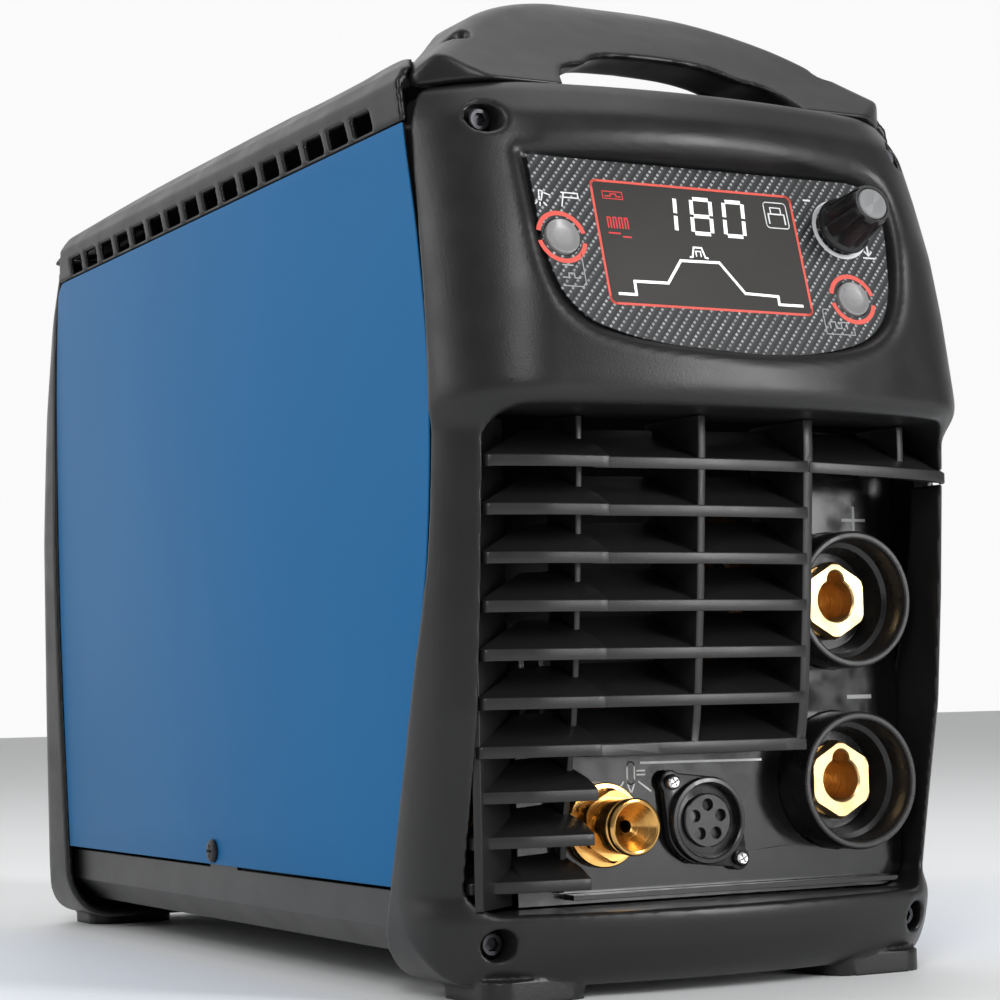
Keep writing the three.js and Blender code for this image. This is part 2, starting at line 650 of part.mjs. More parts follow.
function buildControlPanel() {
  const group = panelGroup();
  const { x0, x1, y0, y1 } = DISPLAY;
  add('control_label', buildLabel(), paint(0x35363a, 0.4), group);
  const window = prismZ(roundedRect(x0, y0, x1, y1, 1.2), -4.2, 0.1, 2);
  add('display_window', window, paint(0x1e1f20, 0.15), group);
  add('control_board', buildControlBoard(), paint(0x1c5a36, 0.5), group);
  add('encoder_body', buildEncoderBody(), steel(), group);
  add('encoder_shaft', rodZ(1.9, -7.8, 14, ENCODER.x, ENCODER.y, 24), steel(), group);
  addKnob(group);
  const key = [[0, -7.6], [2, -7.6], [2, -4], [BUTTON_R, -4], [BUTTON_R, 0.9], [4.6, 1.7], [2.6, 2.2],
    [0, 2.4]];
  for (const { name, x, y } of BUTTONS) {
    add(name, standing(key, x, y), paint(0x9b9b9d, 0.5), group);
  }
}

// The knob is a fluted skirted grip; its cap is a separate grey disc.
function addKnob(group) {
  const { x, y } = ENCODER;
  const grip = standing([
    [2.2, 2.2], [9, 2.2], [9, 3.4], [7.9, 4.2], [7.7, 7], [6.6, 17.4], [6.2, 18], [5.2, 18],
    [5.2, 16.4], [2.2, 16.4], [2.2, 2.2],
  ], x, y);
  const flutes = [];
  const reach = 8;
  for (let i = 0; i < 8; i += 1) {
    const angle = (i * Math.PI) / 4;
    flutes.push(rodZ(1, 4.4, 20, x + reach * Math.cos(angle), y + reach * Math.sin(angle), 6));
  }
  add('encoder_knob', cut(grip, ...flutes), paint(0x141415, 0.5), group);
  add('encoder_cap', rodZ(4.9, 16.7, 18.4, x, y, 28), paint(0x8d8e90, 0.6), group);
}

// ---- Sheet metal: side panels and base tray ----
function panelRegion() {
  const front = FRONT_SEAM.map(([y, z]) => [y + GAP / 2, z]);
  const rear = REAR_SEAM.map(([y, z]) => [y - GAP / 2, z]).reverse();
  return prismX(polygon([...front, ...rear].reverse()), -120, 120);
}

const PANEL_SCREW = { y: 5.7, z: 36.4 };

function buildSidePanel(side) {
  const inner = Math.min(side * (PANEL_X - SHEET), side * PANEL_X);
  const outline = roundedRect(-230, PANEL_Z[0], 230, PANEL_Z[1], 1);
  const sheet = common(prismX(outline, inner, inner + SHEET), panelRegion());
  const top = PANEL_Z[1] + 1;
  const corner = prismX(polygon([[158, top], [175, top], [175, top - 9]]), -120, 120);
  return cut(sheet, corner, rodX(2.2, -100, 100, PANEL_SCREW.y, PANEL_SCREW.z, 14));
}

function buildPanelScrew(side) {
  const head = new THREE.CylinderGeometry(4, 3.4, 1.6, 18).rotateZ(-side * Math.PI / 2)
    .translate(side * (PANEL_X + 1.1), PANEL_SCREW.y, PANEL_SCREW.z);
  const inner = side * (PANEL_X - 6.9);
  const outer = side * (PANEL_X + 1.1);
  const shank = rodX(1.8, Math.min(inner, outer), Math.max(inner, outer), PANEL_SCREW.y, PANEL_SCREW.z);
  return join(head, shank);
}

const TRAY = { x: 85.2, z0: 11.4, y0: -146, y1: 171, wall: 30.6 };

function buildBaseTray() {
  const { x, z0, y0, y1, wall } = TRAY;
  const fold = 8;
  const section = polygon([[-x + fold, z0], [x - fold, z0], [x, z0 + fold], [x, wall], [x - SHEET, wall],
    [x - SHEET, z0 + fold + 1], [x - fold - 1, z0 + SHEET], [-x + fold + 1, z0 + SHEET],
    [-x + SHEET, z0 + fold + 1], [-x + SHEET, wall], [-x, wall], [-x, z0 + fold]]);
  const tabs = [-1, 1].map((side) => {
    const x0 = Math.min(side * (x - SHEET), side * x);
    return box(x0, x0 + SHEET, PANEL_SCREW.y - 12, PANEL_SCREW.y + 12, wall - 1, PANEL_SCREW.z + 8);
  });
  const holes = rodX(2.2, -100, 100, PANEL_SCREW.y, PANEL_SCREW.z);
  return cut(join(prismY(section, y0, y1), ...tabs), holes);
}

// ---- Top cover with side louvres ----
const LOUVRES = { count: 16, first: -128, pitch: 17.6, width: 13, lean: 3, z0: 255.3, z1: 261.8 };
const COVER_RIDGE = [
  [-150, 268], [-128, 278], [-100, 277.2], [-70, 277.4], [-40, 279.2], [-10, 280], [40, 279.9],
  [80, 278.4], [110, 276.8], [140, 274.4], [170, 271.6],
];

function coverSection(drop, inset) {
  const x = PANEL_X - inset;
  const half = [[x, PANEL_Z[1] + GAP - (drop ? 5 : 0)], [x, 266.5 - drop / 2], [85 - inset, 272 - drop / 2],
    [78 - inset, 278 - drop], [72, 280 - drop], [66 + inset, 278.4 - drop], [57 + inset, 270 - drop],
    [40, 266.8 - drop], [0, 265.6 - drop]];
  const left = half.slice(0, -1).map(([a, z]) => [-a, z]);
  return polygon([...left, half[half.length - 1], ...half.slice(0, -1).reverse()].reverse());
}

function buildTopCover(handleSpace) {
  const outer = prismY(coverSection(0, 0), -175, 175);
  const inner = prismY(coverSection(2.4, 2.4), -180, 180);
  const crown = smooth(COVER_RIDGE, 14);
  const lowered = crown.map(([y, z]) => [y, z - 2.4]);
  const region = (ridge) =>
    prismX(polygon([[-175, 240], [175, 240], ...[...ridge].reverse(), [-175, 262]]), -120, 120);
  const shell = cut(common(outer, region(crown)), common(inner, region(lowered)));
  const cover = common(shell, panelRegion());
  return largest(cut(cover, ...louvreSlots(), handleSpace));
}

function louvreSlots() {
  const { count, first, pitch, width, lean, z0, z1 } = LOUVRES;
  const slots = [];
  for (let i = 0; i < count; i += 1) {
    const y = first + i * pitch;
    const slant = polygon([[y, z0], [y + width, z0], [y + width + lean, z1], [y + lean, z1]]);
    slots.push(prismX(slant, -95, -80), prismX(slant, 80, 95));
  }
  return slots;
}

// The biggest of a solid's separate bodies; slivers left by a cut are dropped.
function largest(piece) {
  const parts = piece.decompose();
  return parts.reduce((best, part) => (part.volume() > best.volume() ? part : best));
}

const HANDLE_SCREW = { x: 66, y: -140, z: 276 };

// ---- Carrying handle: a front arch and two rear legs that meet in one grip ----
const HANDLE_TOP = 312;

function handleFrontView(grow) {
  const side = smooth([
    [86.5, 264], [84, 268.5], [79, 274], [69, 282], [56, 292.5], [44, 299], [29, 304.8],
    [14, 309.5],
  ], 9);
  const half = side.map(([x, z]) => [x + grow, z + grow]);
  const left = half.map(([x, z]) => [-x, z]).reverse();
  const foot = 86.5 + grow;
  return polygon([[foot, 250], ...half, [0, HANDLE_TOP + grow], ...left, [-foot, 250]]);
}

function handleSideView(grow) {
  const top = smooth([
    [-166, 264], [-150, 277], [-130, 294], [-114, 304.5], [-96, 308.2], [-40, 311.6], [10, 312],
    [60, 308], [110, 296], [150, 282], [180, 270], [189, 264],
  ], 20);
  const under = smooth([
    [150, 264], [120, 277], [90, 291], [60, 297.4], [10, 299], [-50, 299], [-80, 297.4],
    [-104, 291], [-122, 280], [-146, 264],
  ], 18);
  const raised = top.map(([y, z]) => [y, z + grow]);
  const lowered = under.map(([y, z]) => [y, z - grow]);
  return polygon([...raised, ...lowered].reverse());
}

function handlePlan(grow) {
  const half = smooth([
    [86, -104], [60, -103], [30, -99], [17, -88], [13.5, -66], [13, 0], [13.5, 40], [19, 66],
    [38, 98], [62, 132], [78, 165], [86, 190],
  ], 18).map(([x, y]) => [x + grow, y]);
  const left = half.map(([x, y]) => [-x, y]).reverse();
  const side = 86 + grow;
  return polygon([[side, -175], ...half, [side, 195], [-side, 195], ...left, [-side, -175]]);
}

// The handle's front corners follow the bezel's rounded top edge.
function handleFoot(grow) {
  const width = halfWidth(BEZEL_TOP) + grow;
  const yFront = stationValue(FRONT_PROFILE, BEZEL_TOP) - grow;
  return planOutline(width, yFront, FRONT_BOW, cornerRadius(FRONT_CORNER, BEZEL_TOP), 195);
}

// An arch through the front of the handle, wide in front and narrower but higher behind.
function handleArch(points, yBack) {
  const arch = smooth(points, 8);
  const right = arch.slice(0, -1).map(([x, z]) => [-x, z]).reverse();
  const foot = points[0][0];
  return prismY(polygon([[foot, 250], ...arch, ...right, [-foot, 250]].reverse()), -200, yBack);
}

function handleSolid(grow) {
  const wide = handleArch([[-43, 264], [-40, 270], [-34, 274.4], [-18, 276.8], [0, 277.2]], -132);
  const narrow = handleArch([[-31, 264], [-29.5, 271], [-25, 277.4], [-16, 280.6], [0, 281.6]], 0);
  const notch = smooth([[0, 88], [16, 99], [32, 121], [48, 152], [58, 198]], 8);
  const mirrored = notch.slice(1).map(([x, y]) => [-x, y]).reverse();
  const rearGap = prismZ(polygon([...notch, ...mirrored]), 240, 330);
  const block = common(
    prismY(handleFrontView(grow), -175, 195),
    prismX(handleSideView(grow), -100, 100),
    prismZ(handlePlan(grow), 250, 330),
    prismZ(polygon(handleFoot(grow)), 250, 330));
  return grow ? block : cut(block, wide, narrow, rearGap);
}

function buildHandle() {
  const seat = cut(handleSolid(0), box(-100, 100, -200, 250, 230, BEZEL_TOP + 0.35));
  const { x, y, z } = HANDLE_SCREW;
  const dimples = [-1, 1].map((side) => rodZ(3.5, z, 330, side * x, y));
  return cut(seat, ...dimples);
}

function handleScrew(side) {
  const { x, y, z } = HANDLE_SCREW;
  return rodZ(3, z + 0.4, z + 2.4, side * x, y);
}

// ---- Rear: panel, fan, power switch, mains gland and gas inlet ----
const SWITCH = { x: -56, z: 212, w: 22, h: 30 };
const GLAND = { x: -59.2, z: 160, r: 9 };
const GAS_INLET = { x: -60, z: 60 };

function buildRearPanel() {
  const { x, z0, z1, r } = REAR_MOUTH;
  const y0 = REAR_PLATE_Y - 2 - GAP;
  const plate = prismY(roundedRect(-x - 2.4, z0 - 2.4, x + 2.4, z1 + 2.4, r), y0, y0 + 2, 4);
  const air = rod(FAN.bladeR + 1, 170, 200, FAN.x, FAN.z, 24);
  const fanHoles = fanCorners().map(([fx, fz]) => rod(2.3, 170, 200, fx, fz, 6));
  const opening = box(SWITCH.x - SWITCH.w / 2 - GAP, SWITCH.x + SWITCH.w / 2 + GAP, 170, 200,
    SWITCH.z - SWITCH.h / 2 - GAP, SWITCH.z + SWITCH.h / 2 + GAP);
  const screws = REAR_SCREWS.map(([sx, sz]) => rod(6.6, 170, 200, sx, sz, 10));
  return cut(plate, air, ...fanHoles, opening, rod(GLAND.r + GAP, 170, 200, GLAND.x, GLAND.z),
    rod(5.4, 170, 200, GAS_INLET.x, GAS_INLET.z), ...screws);
}

function fanCorners() {
  const reach = 52.5;
  return [[-1, -1], [1, -1], [-1, 1], [1, 1]].map(([a, b]) => [FAN.x + a * reach, FAN.z + b * reach]);
}

function buildFanFrame() {
  const half = FAN.size / 2;
  const y1 = FAN.y + FAN.depth;
  const outline = roundedRect(FAN.x - half, FAN.z - half, FAN.x + half, FAN.z + half, 5);
  const ring = cut(prismY(outline, FAN.y, y1, 3), rod(FAN.bladeR + 1, 100, 220, FAN.x, FAN.z, 24),
    ...fanCorners().map(([fx, fz]) => rod(2.3, 100, 220, fx, fz, 6)));
  const motor = rod(18, FAN.y, FAN.y + 6, FAN.x, FAN.z, 28);
  const shaft = rod(FAN.shaftR, FAN.y + 5, FAN.y + 14, FAN.x, FAN.z, 16);
  const arms = [[-58, -16], [16, 58]].flatMap(([start, end]) => [
    box(FAN.x + start, FAN.x + end, FAN.y, FAN.y + 4, FAN.z - 3, FAN.z + 3),
    box(FAN.x - 3, FAN.x + 3, FAN.y, FAN.y + 4, FAN.z + start, FAN.z + end),
  ]);
  return join(ring, motor, shaft, ...arms);
}

function fanBlade() {
  const plan = smooth([[0, -7], [14, -9], [30, -11], [FAN.bladeR - 19, -12]], 4);
  const back = plan.map(([x, y]) => [x, y + 16 + x * 0.12]).reverse();
  const blade = extrude(polygon([...plan, ...back]), 1.6);
  return blade.rotateX(THREE.MathUtils.degToRad(38)).translate(17, 0, 0);
}

function buildFanRotor() {
  const y0 = FAN.y + 7;
  const hub = cut(rod(FAN.hub, y0, y0 + 16, FAN.x, FAN.z, 32),
    rod(FAN.shaftR + 0.3, y0 - 1, y0 + 8, FAN.x, FAN.z, 16));
  let rotor = asSolid(hub);
  for (let i = 0; i < 7; i += 1) {
    const blade = fanBlade().rotateX(Math.PI / 2).rotateY((i * Math.PI * 2) / 7)
      .translate(FAN.x, y0 + 8, FAN.z);
    rotor = rotor.add(asSolid(blade));
  }
  return common(rotor, rod(FAN.bladeR - 0.6, y0 - 0.2, y0 + 17.6, FAN.x, FAN.z, 32));
}

function buildFanGuard() {
  const y0 = REAR_PLATE_Y - GAP + 0.4;
  const rings = [20, 38, 56.5].map((r) => turned([[r - 0.9, y0 + 1.8], [r + 0.9, y0 + 1.8],
    [r + 0.9, y0 + 3.6], [r - 0.9, y0 + 3.6]], FAN.x, FAN.z, 18));
  const spokes = [0, 1].map((i) => {
    const turn = Math.PI / 4 + (i * Math.PI) / 2;
    const reach = 52.5 * Math.SQRT2 + 4;
    return new THREE.BoxGeometry(reach * 2, 2, 3).rotateY(turn).translate(FAN.x, y0 + 1.2, FAN.z);
  });
  const eyes = fanCorners().map(([fx, fz]) => rod(4.2, y0 + 0.2, y0 + 2.2, fx, fz, 10));
  const holes = fanCorners().map(([fx, fz]) => rod(2.2, y0 - 5, y0 + 9, fx, fz, 6));
  return cut(join(...rings, ...spokes, ...eyes), ...holes);
}

function buildSwitchHousing() {
  const y0 = REAR_PLATE_Y - GAP;
  const { x, z, w, h } = SWITCH;
  const flange = box(x - w / 2 - 1.8, x + w / 2 + 1.8, y0 + 0.3, y0 + 2.4, z - h / 2 - 1.8, z + h / 2 + 1.8);
  const body = box(x - w / 2, x + w / 2, y0 - 24, y0 + 1, z - h / 2, z + h / 2);
  return cut(join(flange, body), box(x - 8.4, x + 8.4, y0 - 9, y0 + 10, z - 13.6, z + 13.6));
}

function buildRocker() {
  const y0 = REAR_PLATE_Y - GAP;
  const { x, z } = SWITCH;
  const outline = polygon([
    [y0 - 4, z + 6], [y0 + 3.2, z + 12.4], [y0 + 5.8, z + 11.9], [y0 + 2.4, z], [y0 + 3.4, z - 12.2],
    [y0 + 1.2, z - 12.2], [y0 - 4, z - 6],
  ]);
  return prismX(outline, x - 7.9, x + 7.9);
}

function buildGland() {
  const y0 = REAR_PLATE_Y - GAP;
  const { x, z, r } = GLAND;
  const body = turned([
    [5, y0 - 12], [r, y0 - 12], [r, y0 + 0.3], [12.4, y0 + 0.3], [12.4, y0 + 7], [10.6, y0 + 8],
    [10.6, y0 + 14], [8, y0 + 18.6], [5, y0 + 18.6],
  ], x, z, 20);
  const hex = cut(prismY(hexagon(24), y0 + 0.3, y0 + 6).translate(x, 0, z), rod(7, 150, 220, x, z));
  return join(body, hex);
}

function buildGasInlet() {
  const y0 = REAR_PLATE_Y - GAP;
  const { x, z } = GAS_INLET;
  const body = turned([
    [1.8, y0 - 16], [5, y0 - 16], [5, y0 + 0.3], [8.6, y0 + 0.3], [8.6, y0 + 2], [4.6, y0 + 4.5],
    [4.6, y0 + 8], [3.6, y0 + 8], [4.4, y0 + 11], [3.4, y0 + 11], [4.2, y0 + 14], [3.2, y0 + 17],
    [1.8, y0 + 17],
  ], x, z, 16);
  const hex = cut(prismY(hexagon(14), y0 + 1, y0 + 5.4).translate(x, 0, z), rod(4, 150, 220, x, z));
  return join(body, hex);
}

// ---- Inside ----
function heatSink(x0, x1, y0, y1, z0, z1, fins) {
  const base = box(x0, x1, y0, y1, z0, z0 + 6);
  const pitch = (x1 - x0 - 2) / (fins - 1);
  const blades = [];
  for (let i = 0; i < fins; i += 1) {
    const x = x0 + i * pitch;
    blades.push(box(x, x + 2, y0, y1, z0 + 5, z1));
  }
  return join(base, ...blades);
}

function buildPowerBoard() {
  const z = 24;
  const board = box(-78, 78, -110, 128, z, z + 2);
  const posts = [];
  for (const x of [-70, 70]) {
    for (const y of [-102, 120]) posts.push(rodZ(4, TRAY.z0 + SHEET + 0.3, z + 0.5, x, y));
  }
  return join(board, ...posts);
}

const BOARD_TOP = 26.3;

function buildCapacitors() {
  const cans = [];
  for (const y of [-24, 10, 44]) cans.push(rodZ(15, BOARD_TOP + 1, BOARD_TOP + 48, 58, y, 14));
  return join(box(42, 74, -40, 60, BOARD_TOP, BOARD_TOP + 2), ...cans);
}

function buildTransformer() {
  const z0 = BOARD_TOP;
  const core = cut(box(-6, 58, 66, 124, z0, z0 + 56), box(6, 46, 50, 140, z0 + 10, z0 + 46));
  const winding = box(10, 42, 62, 128, z0 + 10.5, z0 + 45.5);
  return { core, winding: join(winding, box(6.4, 45.6, 64, 126, z0 + 14, z0 + 42)) };
}

function buildChoke(x, y, z, r, tube) {
  return new THREE.TorusGeometry(r, tube, 8, 20).rotateY(Math.PI / 2).translate(x, y, z);
}

const VALVE = { x: -62, y: 118, z: 60 };

function buildGasValve() {
  const { x, y, z } = VALVE;
  const block = box(x - 10, x + 10, y - 12, y + 12, z - 10, z + 10);
  const coil = box(x - 12, x + 12, y - 13, y + 13, z + 9, z + 40);
  const stem = rodZ(5, z + 38, z + 46, x, y);
  return join(block, coil, stem);
}

function hose(points, radius) {
  const path = new THREE.CatmullRomCurve3(points.map((p) => new THREE.Vector3(...p)));
  const section = new THREE.Shape();
  section.absarc(0, 0, radius, 0, Math.PI * 2);
  const options = { steps: 16, bevelEnabled: false, extrudePath: path, curveSegments: 4 };
  return new THREE.ExtrudeGeometry(section, options);
}

// ---- Assembly ----
function buildFront() {
  add('front_bezel', buildFrontBezel(), shellPlastic());
  add('front_grille', buildGrille(), shellPlastic());
  add('connector_plate', buildConnectorPlate(), glossBlack());
  add('plus_socket_shroud', buildShroud(SOCKET.zPlus), glossBlack());
  add('plus_socket_insert', buildInsert(SOCKET.zPlus), brass());
  add('minus_socket_shroud', buildShroud(SOCKET.zMinus), glossBlack());
  add('minus_socket_insert', buildInsert(SOCKET.zMinus), brass());
  add('gas_outlet', buildGasOutlet(), brass());
  add('control_socket_shell', buildControlShell(), blackPlastic());
  add('control_socket_insert', buildControlInsert(), blackPlastic());
  [-1, 1].forEach((side, i) => {
    const x = CONTROL.x + side * CONTROL.screw;
    const z = CONTROL.z - side * CONTROL.screw;
    add(`control_socket_screw_${i + 1}`, screwAlongY(x, z, -157.9, 1, 2.4, 1.2, 10), steel());
  });
  BEZEL_SCREWS.forEach(([x, z], i) => {
    add(`front_screw_${i + 1}`, screwAlongY(x, z, screwY(z) - 2.5, 1), darkSteel());
  });
  buildControlPanel();
}

function buildCase() {
  add('left_side_panel', buildSidePanel(-1), paint(0x386fa0, 0.45));
  add('right_side_panel', buildSidePanel(1), paint(0x386fa0, 0.45));
  add('left_panel_screw', buildPanelScrew(-1), darkSteel());
  add('right_panel_screw', buildPanelScrew(1), darkSteel());
  add('base_tray', buildBaseTray(), paint(0x18181a, 0.5));
  add('carry_handle', buildHandle(), shellPlastic());
  add('left_handle_screw', handleScrew(-1), darkSteel());
  add('right_handle_screw', handleScrew(1), darkSteel());
  add('top_cover', buildTopCover(handleSolid(0.6)), blackPlastic());
}

function buildRear() {
  add('rear_bezel', buildRearBezel(), blackPlastic());
  add('rear_panel', buildRearPanel(), paint(0x1b1b1d, 0.5));
  REAR_SCREWS.forEach(([x, z], i) => {
    add(`rear_screw_${i + 1}`, screwAlongY(x, z, 191, -1, 3.2, 1.9, 14), darkSteel());
  });
  add('fan_frame', buildFanFrame(), blackPlastic());
  add('fan_rotor', buildFanRotor(), blackPlastic());
  add('fan_guard', buildFanGuard(), steel());
  add('switch_housing', buildSwitchHousing(), blackPlastic());
  add('switch_rocker', buildRocker(), paint(0x8c1d18, 0.4));
  add('cable_gland', buildGland(), blackPlastic());
  add('gas_inlet', buildGasInlet(), brass());
}

function buildHoses() {
  const inlet = hose([
    [GAS_INLET.x, 168.6, GAS_INLET.z], [GAS_INLET.x, 158, GAS_INLET.z], [-55, 144, VALVE.z],
    [VALVE.x, 137, VALVE.z], [VALVE.x, 130.6, VALVE.z],
  ], 4);
  const outlet = hose([
    [VALVE.x, 105, VALVE.z], [VALVE.x, 98, VALVE.z - 0.5], [VALVE.x, 88, VALVE.z - 6],
    [-66, 60, 38], [-66, -60, 38], [-60, -110, 42], [GAS_OUTLET.x, -128, GAS_OUTLET.z],
    [GAS_OUTLET.x, -137.4, GAS_OUTLET.z],
  ], 4);
  return { inlet, outlet };
}

function buildInside() {
  const transformer = buildTransformer();
  const hoses = buildHoses();
  const sinkZ = [BOARD_TOP + 28, BOARD_TOP + 84];
  add('power_board', buildPowerBoard(), paint(0x1c5a36, 0.5));
  add('left_heat_sink', heatSink(-74, -14, -92, -12, ...sinkZ, 9), paint(0xb4b6b8, 0.4, 1));
  add('right_heat_sink', heatSink(-74, -14, -4, 76, ...sinkZ, 9), paint(0xb4b6b8, 0.4, 1));
  add('capacitor_bank', buildCapacitors(), paint(0x23262e, 0.35));
  add('transformer_core', transformer.core, paint(0x2b2b2d, 0.6));
  add('transformer_winding', transformer.winding, paint(0xb0702f, 0.5));
  add('output_choke', buildChoke(20, -70, BOARD_TOP + 34, 24, 9), paint(0xb0702f, 0.5));
  add('ignition_coil', buildChoke(58, -84, BOARD_TOP + 92, 20, 7), paint(0x8a5a2a, 0.5));
  add('gas_valve', buildGasValve(), paint(0x222224, 0.4));
  add('inlet_hose', hoses.inlet, paint(0x2a4a7a, 0.4));
  add('outlet_hose', hoses.outlet, paint(0x2a4a7a, 0.4));
}

buildFront();
buildCase();
buildRear();
buildInside();

export default welder;
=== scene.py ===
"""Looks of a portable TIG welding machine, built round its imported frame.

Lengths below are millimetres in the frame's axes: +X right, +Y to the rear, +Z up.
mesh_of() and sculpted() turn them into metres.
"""
import math

import bmesh
import bpy
import numpy as np
import openvdb
from mathutils import Matrix, Vector


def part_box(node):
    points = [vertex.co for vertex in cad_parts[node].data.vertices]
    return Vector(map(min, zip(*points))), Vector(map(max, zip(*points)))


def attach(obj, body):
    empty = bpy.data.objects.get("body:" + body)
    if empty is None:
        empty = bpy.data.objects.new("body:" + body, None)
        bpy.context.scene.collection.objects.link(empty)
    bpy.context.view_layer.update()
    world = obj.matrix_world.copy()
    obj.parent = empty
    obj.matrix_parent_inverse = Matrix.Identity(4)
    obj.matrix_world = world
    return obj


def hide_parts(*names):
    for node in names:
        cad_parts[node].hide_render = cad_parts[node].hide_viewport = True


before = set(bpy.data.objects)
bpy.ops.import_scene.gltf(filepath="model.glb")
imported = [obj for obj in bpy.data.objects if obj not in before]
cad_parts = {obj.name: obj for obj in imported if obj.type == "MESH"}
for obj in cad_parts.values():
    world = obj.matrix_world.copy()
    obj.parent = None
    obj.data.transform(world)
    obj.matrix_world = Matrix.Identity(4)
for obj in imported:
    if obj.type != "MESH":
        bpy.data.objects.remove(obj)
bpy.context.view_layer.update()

MM = 0.001
VOXEL = 0.9      # grid step of the sculpted mouldings
BAND = 3                                # grid steps of distance kept round a surface
GAP = 0.4                               # between neighbouring mouldings
WALL = 3.0                              # thickness of the plastic bezels


def low(node):
    return np.array(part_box(node)[0]) / MM


def high(node):
    return np.array(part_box(node)[1]) / MM


def middle(node):
    return (low(node) + high(node)) / 2


# ---- Procedural materials ----
def linear(red, green, blue):
    """An 8-bit display colour as linear light."""
    channels = [c / 255 for c in (red, green, blue)]
    return [c / 12.92 if c <= 0.04045 else ((c + 0.055) / 1.055) ** 2.4 for c in channels]


class Surface:
    """A node material that grows one texture at a time. Texture sizes are millimetres."""

    def __init__(self, name, colour, roughness, metallic=0.0):
        self.material = bpy.data.materials.new(name)
        self.material.use_nodes = True
        self.tree = self.material.node_tree
        self.shader = self.tree.nodes["Principled BSDF"]
        self.shader.inputs["Base Color"].default_value = (*colour, 1)
        self.shader.inputs["Roughness"].default_value = roughness
        self.shader.inputs["Metallic"].default_value = metallic
        self.colour = colour
        self.roughness = roughness
        self.coordinates = self.node("ShaderNodeTexCoord").outputs["Object"]

    def node(self, kind, **values):
        made = self.tree.nodes.new(kind)
        for key, value in values.items():
            if key in made.inputs:
                self.put(made.inputs[key], value)
            else:
                setattr(made, key, value)
        return made

    def put(self, socket, value):
        if isinstance(value, bpy.types.NodeSocket):
            self.tree.links.new(value, socket)
        else:
            socket.default_value = value

    def maths(self, operation, first, second=0.0):
        made = self.node("ShaderNodeMath", operation=operation)
        self.put(made.inputs[0], first)
        self.put(made.inputs[1], second)
        return made.outputs[0]

    def scaled(self, scale):
        return self.node("ShaderNodeMapping", Vector=self.coordinates, Scale=scale).outputs[0]

    def noise(self, size, detail=3.0, stretch=(1, 1, 1)):
        vector = self.scaled([s / (size * MM) for s in stretch])
        made = self.node("ShaderNodeTexNoise", Vector=vector, Scale=1.0, Detail=detail)
        return made.outputs["Fac"]

    def cells(self, size):
        made = self.node("ShaderNodeTexVoronoi", Vector=self.scaled([1 / (size * MM)] * 3), Scale=1.0)
        return made.outputs["Distance"]

    def ranged(self, value, low_value, high_value, start=0.3, end=0.7):
        made = self.node("ShaderNodeMapRange", Value=value)
        made.inputs["From Min"].default_value = start
        made.inputs["From Max"].default_value = end
        made.inputs["To Min"].default_value = low_value
        made.inputs["To Max"].default_value = high_value
        return made.outputs[0]

    def mix(self, share, first, second):
        made = self.node("ShaderNodeMix", data_type="RGBA")
        for socket, value in zip((made.inputs[0], made.inputs[6], made.inputs[7]), (share, first, second)):
            is_colour = isinstance(value, (list, tuple))
            self.put(socket, (*value, 1) if is_colour else value)
        return made.outputs[2]

    def mottle(self, size, amount):
        """Uneven pigment: the colour drifts lighter and darker over this size."""
        dark = [c * (1 - amount) for c in self.colour]
        light = [min(1, c * (1 + amount)) for c in self.colour]
        colour = self.mix(self.ranged(self.noise(size), 0, 1), dark, light)
        self.put(self.shader.inputs["Base Color"], colour)
        return colour

    def painted_edge_highlights(self, colour, amount):
        """Painted highlight: corners and moulding edges a little lighter than the rest, in patches."""
        edge = self.node("ShaderNodeNewGeometry").outputs["Pointiness"]
        # painted highlight: a lighter colour mixed in where the surface is sharply convex
        share = self.maths("MULTIPLY", self.ranged(edge, 0, amount, 0.52, 0.6), self.noise(3.0))
        edge_highlight = [min(1, c * 2.4 + 0.02) for c in self.colour]
        self.put(self.shader.inputs["Base Color"], self.mix(share, colour, edge_highlight))

    def uneven_gloss(self, size, amount):
        value = self.ranged(self.noise(size), self.roughness - amount, self.roughness + amount)
        self.put(self.shader.inputs["Roughness"], value)

    def bump(self, height, depth):
        made = self.node("ShaderNodeBump", Height=height, Distance=depth * MM)
        made.inputs["Strength"].default_value = 1.0
        if self.shader.inputs["Normal"].is_linked:
            self.put(made.inputs["Normal"], self.shader.inputs["Normal"].links[0].from_socket)
        self.put(self.shader.inputs["Normal"], made.outputs[0])

    def coat(self, weight, roughness):
        self.shader.inputs["Coat Weight"].default_value = weight
        self.shader.inputs["Coat Roughness"].default_value = roughness


def moulded(name, colour, roughness, grain, depth):
    """Moulded plastic with a fine spark-eroded grain."""
    surface = Surface(name, colour, roughness)
    # painted highlight along the moulding edges, over the mottled colour
    surface.painted_edge_highlights(surface.mottle(40, 0.08), 0.35)
    surface.uneven_gloss(14, 0.05)
    surface.shader.inputs["Specular IOR Level"].default_value = 0.4
    surface.bump(surface.cells(grain), depth)
    surface.bump(surface.noise(grain * 2.4), depth * 0.7)
    return surface.material


def gloss_plastic(name, colour, roughness):
    surface = Surface(name, colour, roughness)
    surface.mottle(25, 0.15)
    surface.uneven_gloss(7, roughness * 0.4)
    surface.bump(surface.noise(30, 1), 0.08)
    return surface.material


def powder_coat(name, colour, roughness):
    """Baked powder paint: faint orange peel under a thin even gloss."""
    surface = Surface(name, colour, roughness)
    surface.mottle(60, 0.03)
    surface.uneven_gloss(20, 0.04)
    surface.bump(surface.noise(1.3, 2), 0.012)
    surface.coat(0.15, 0.25)
    return surface.material


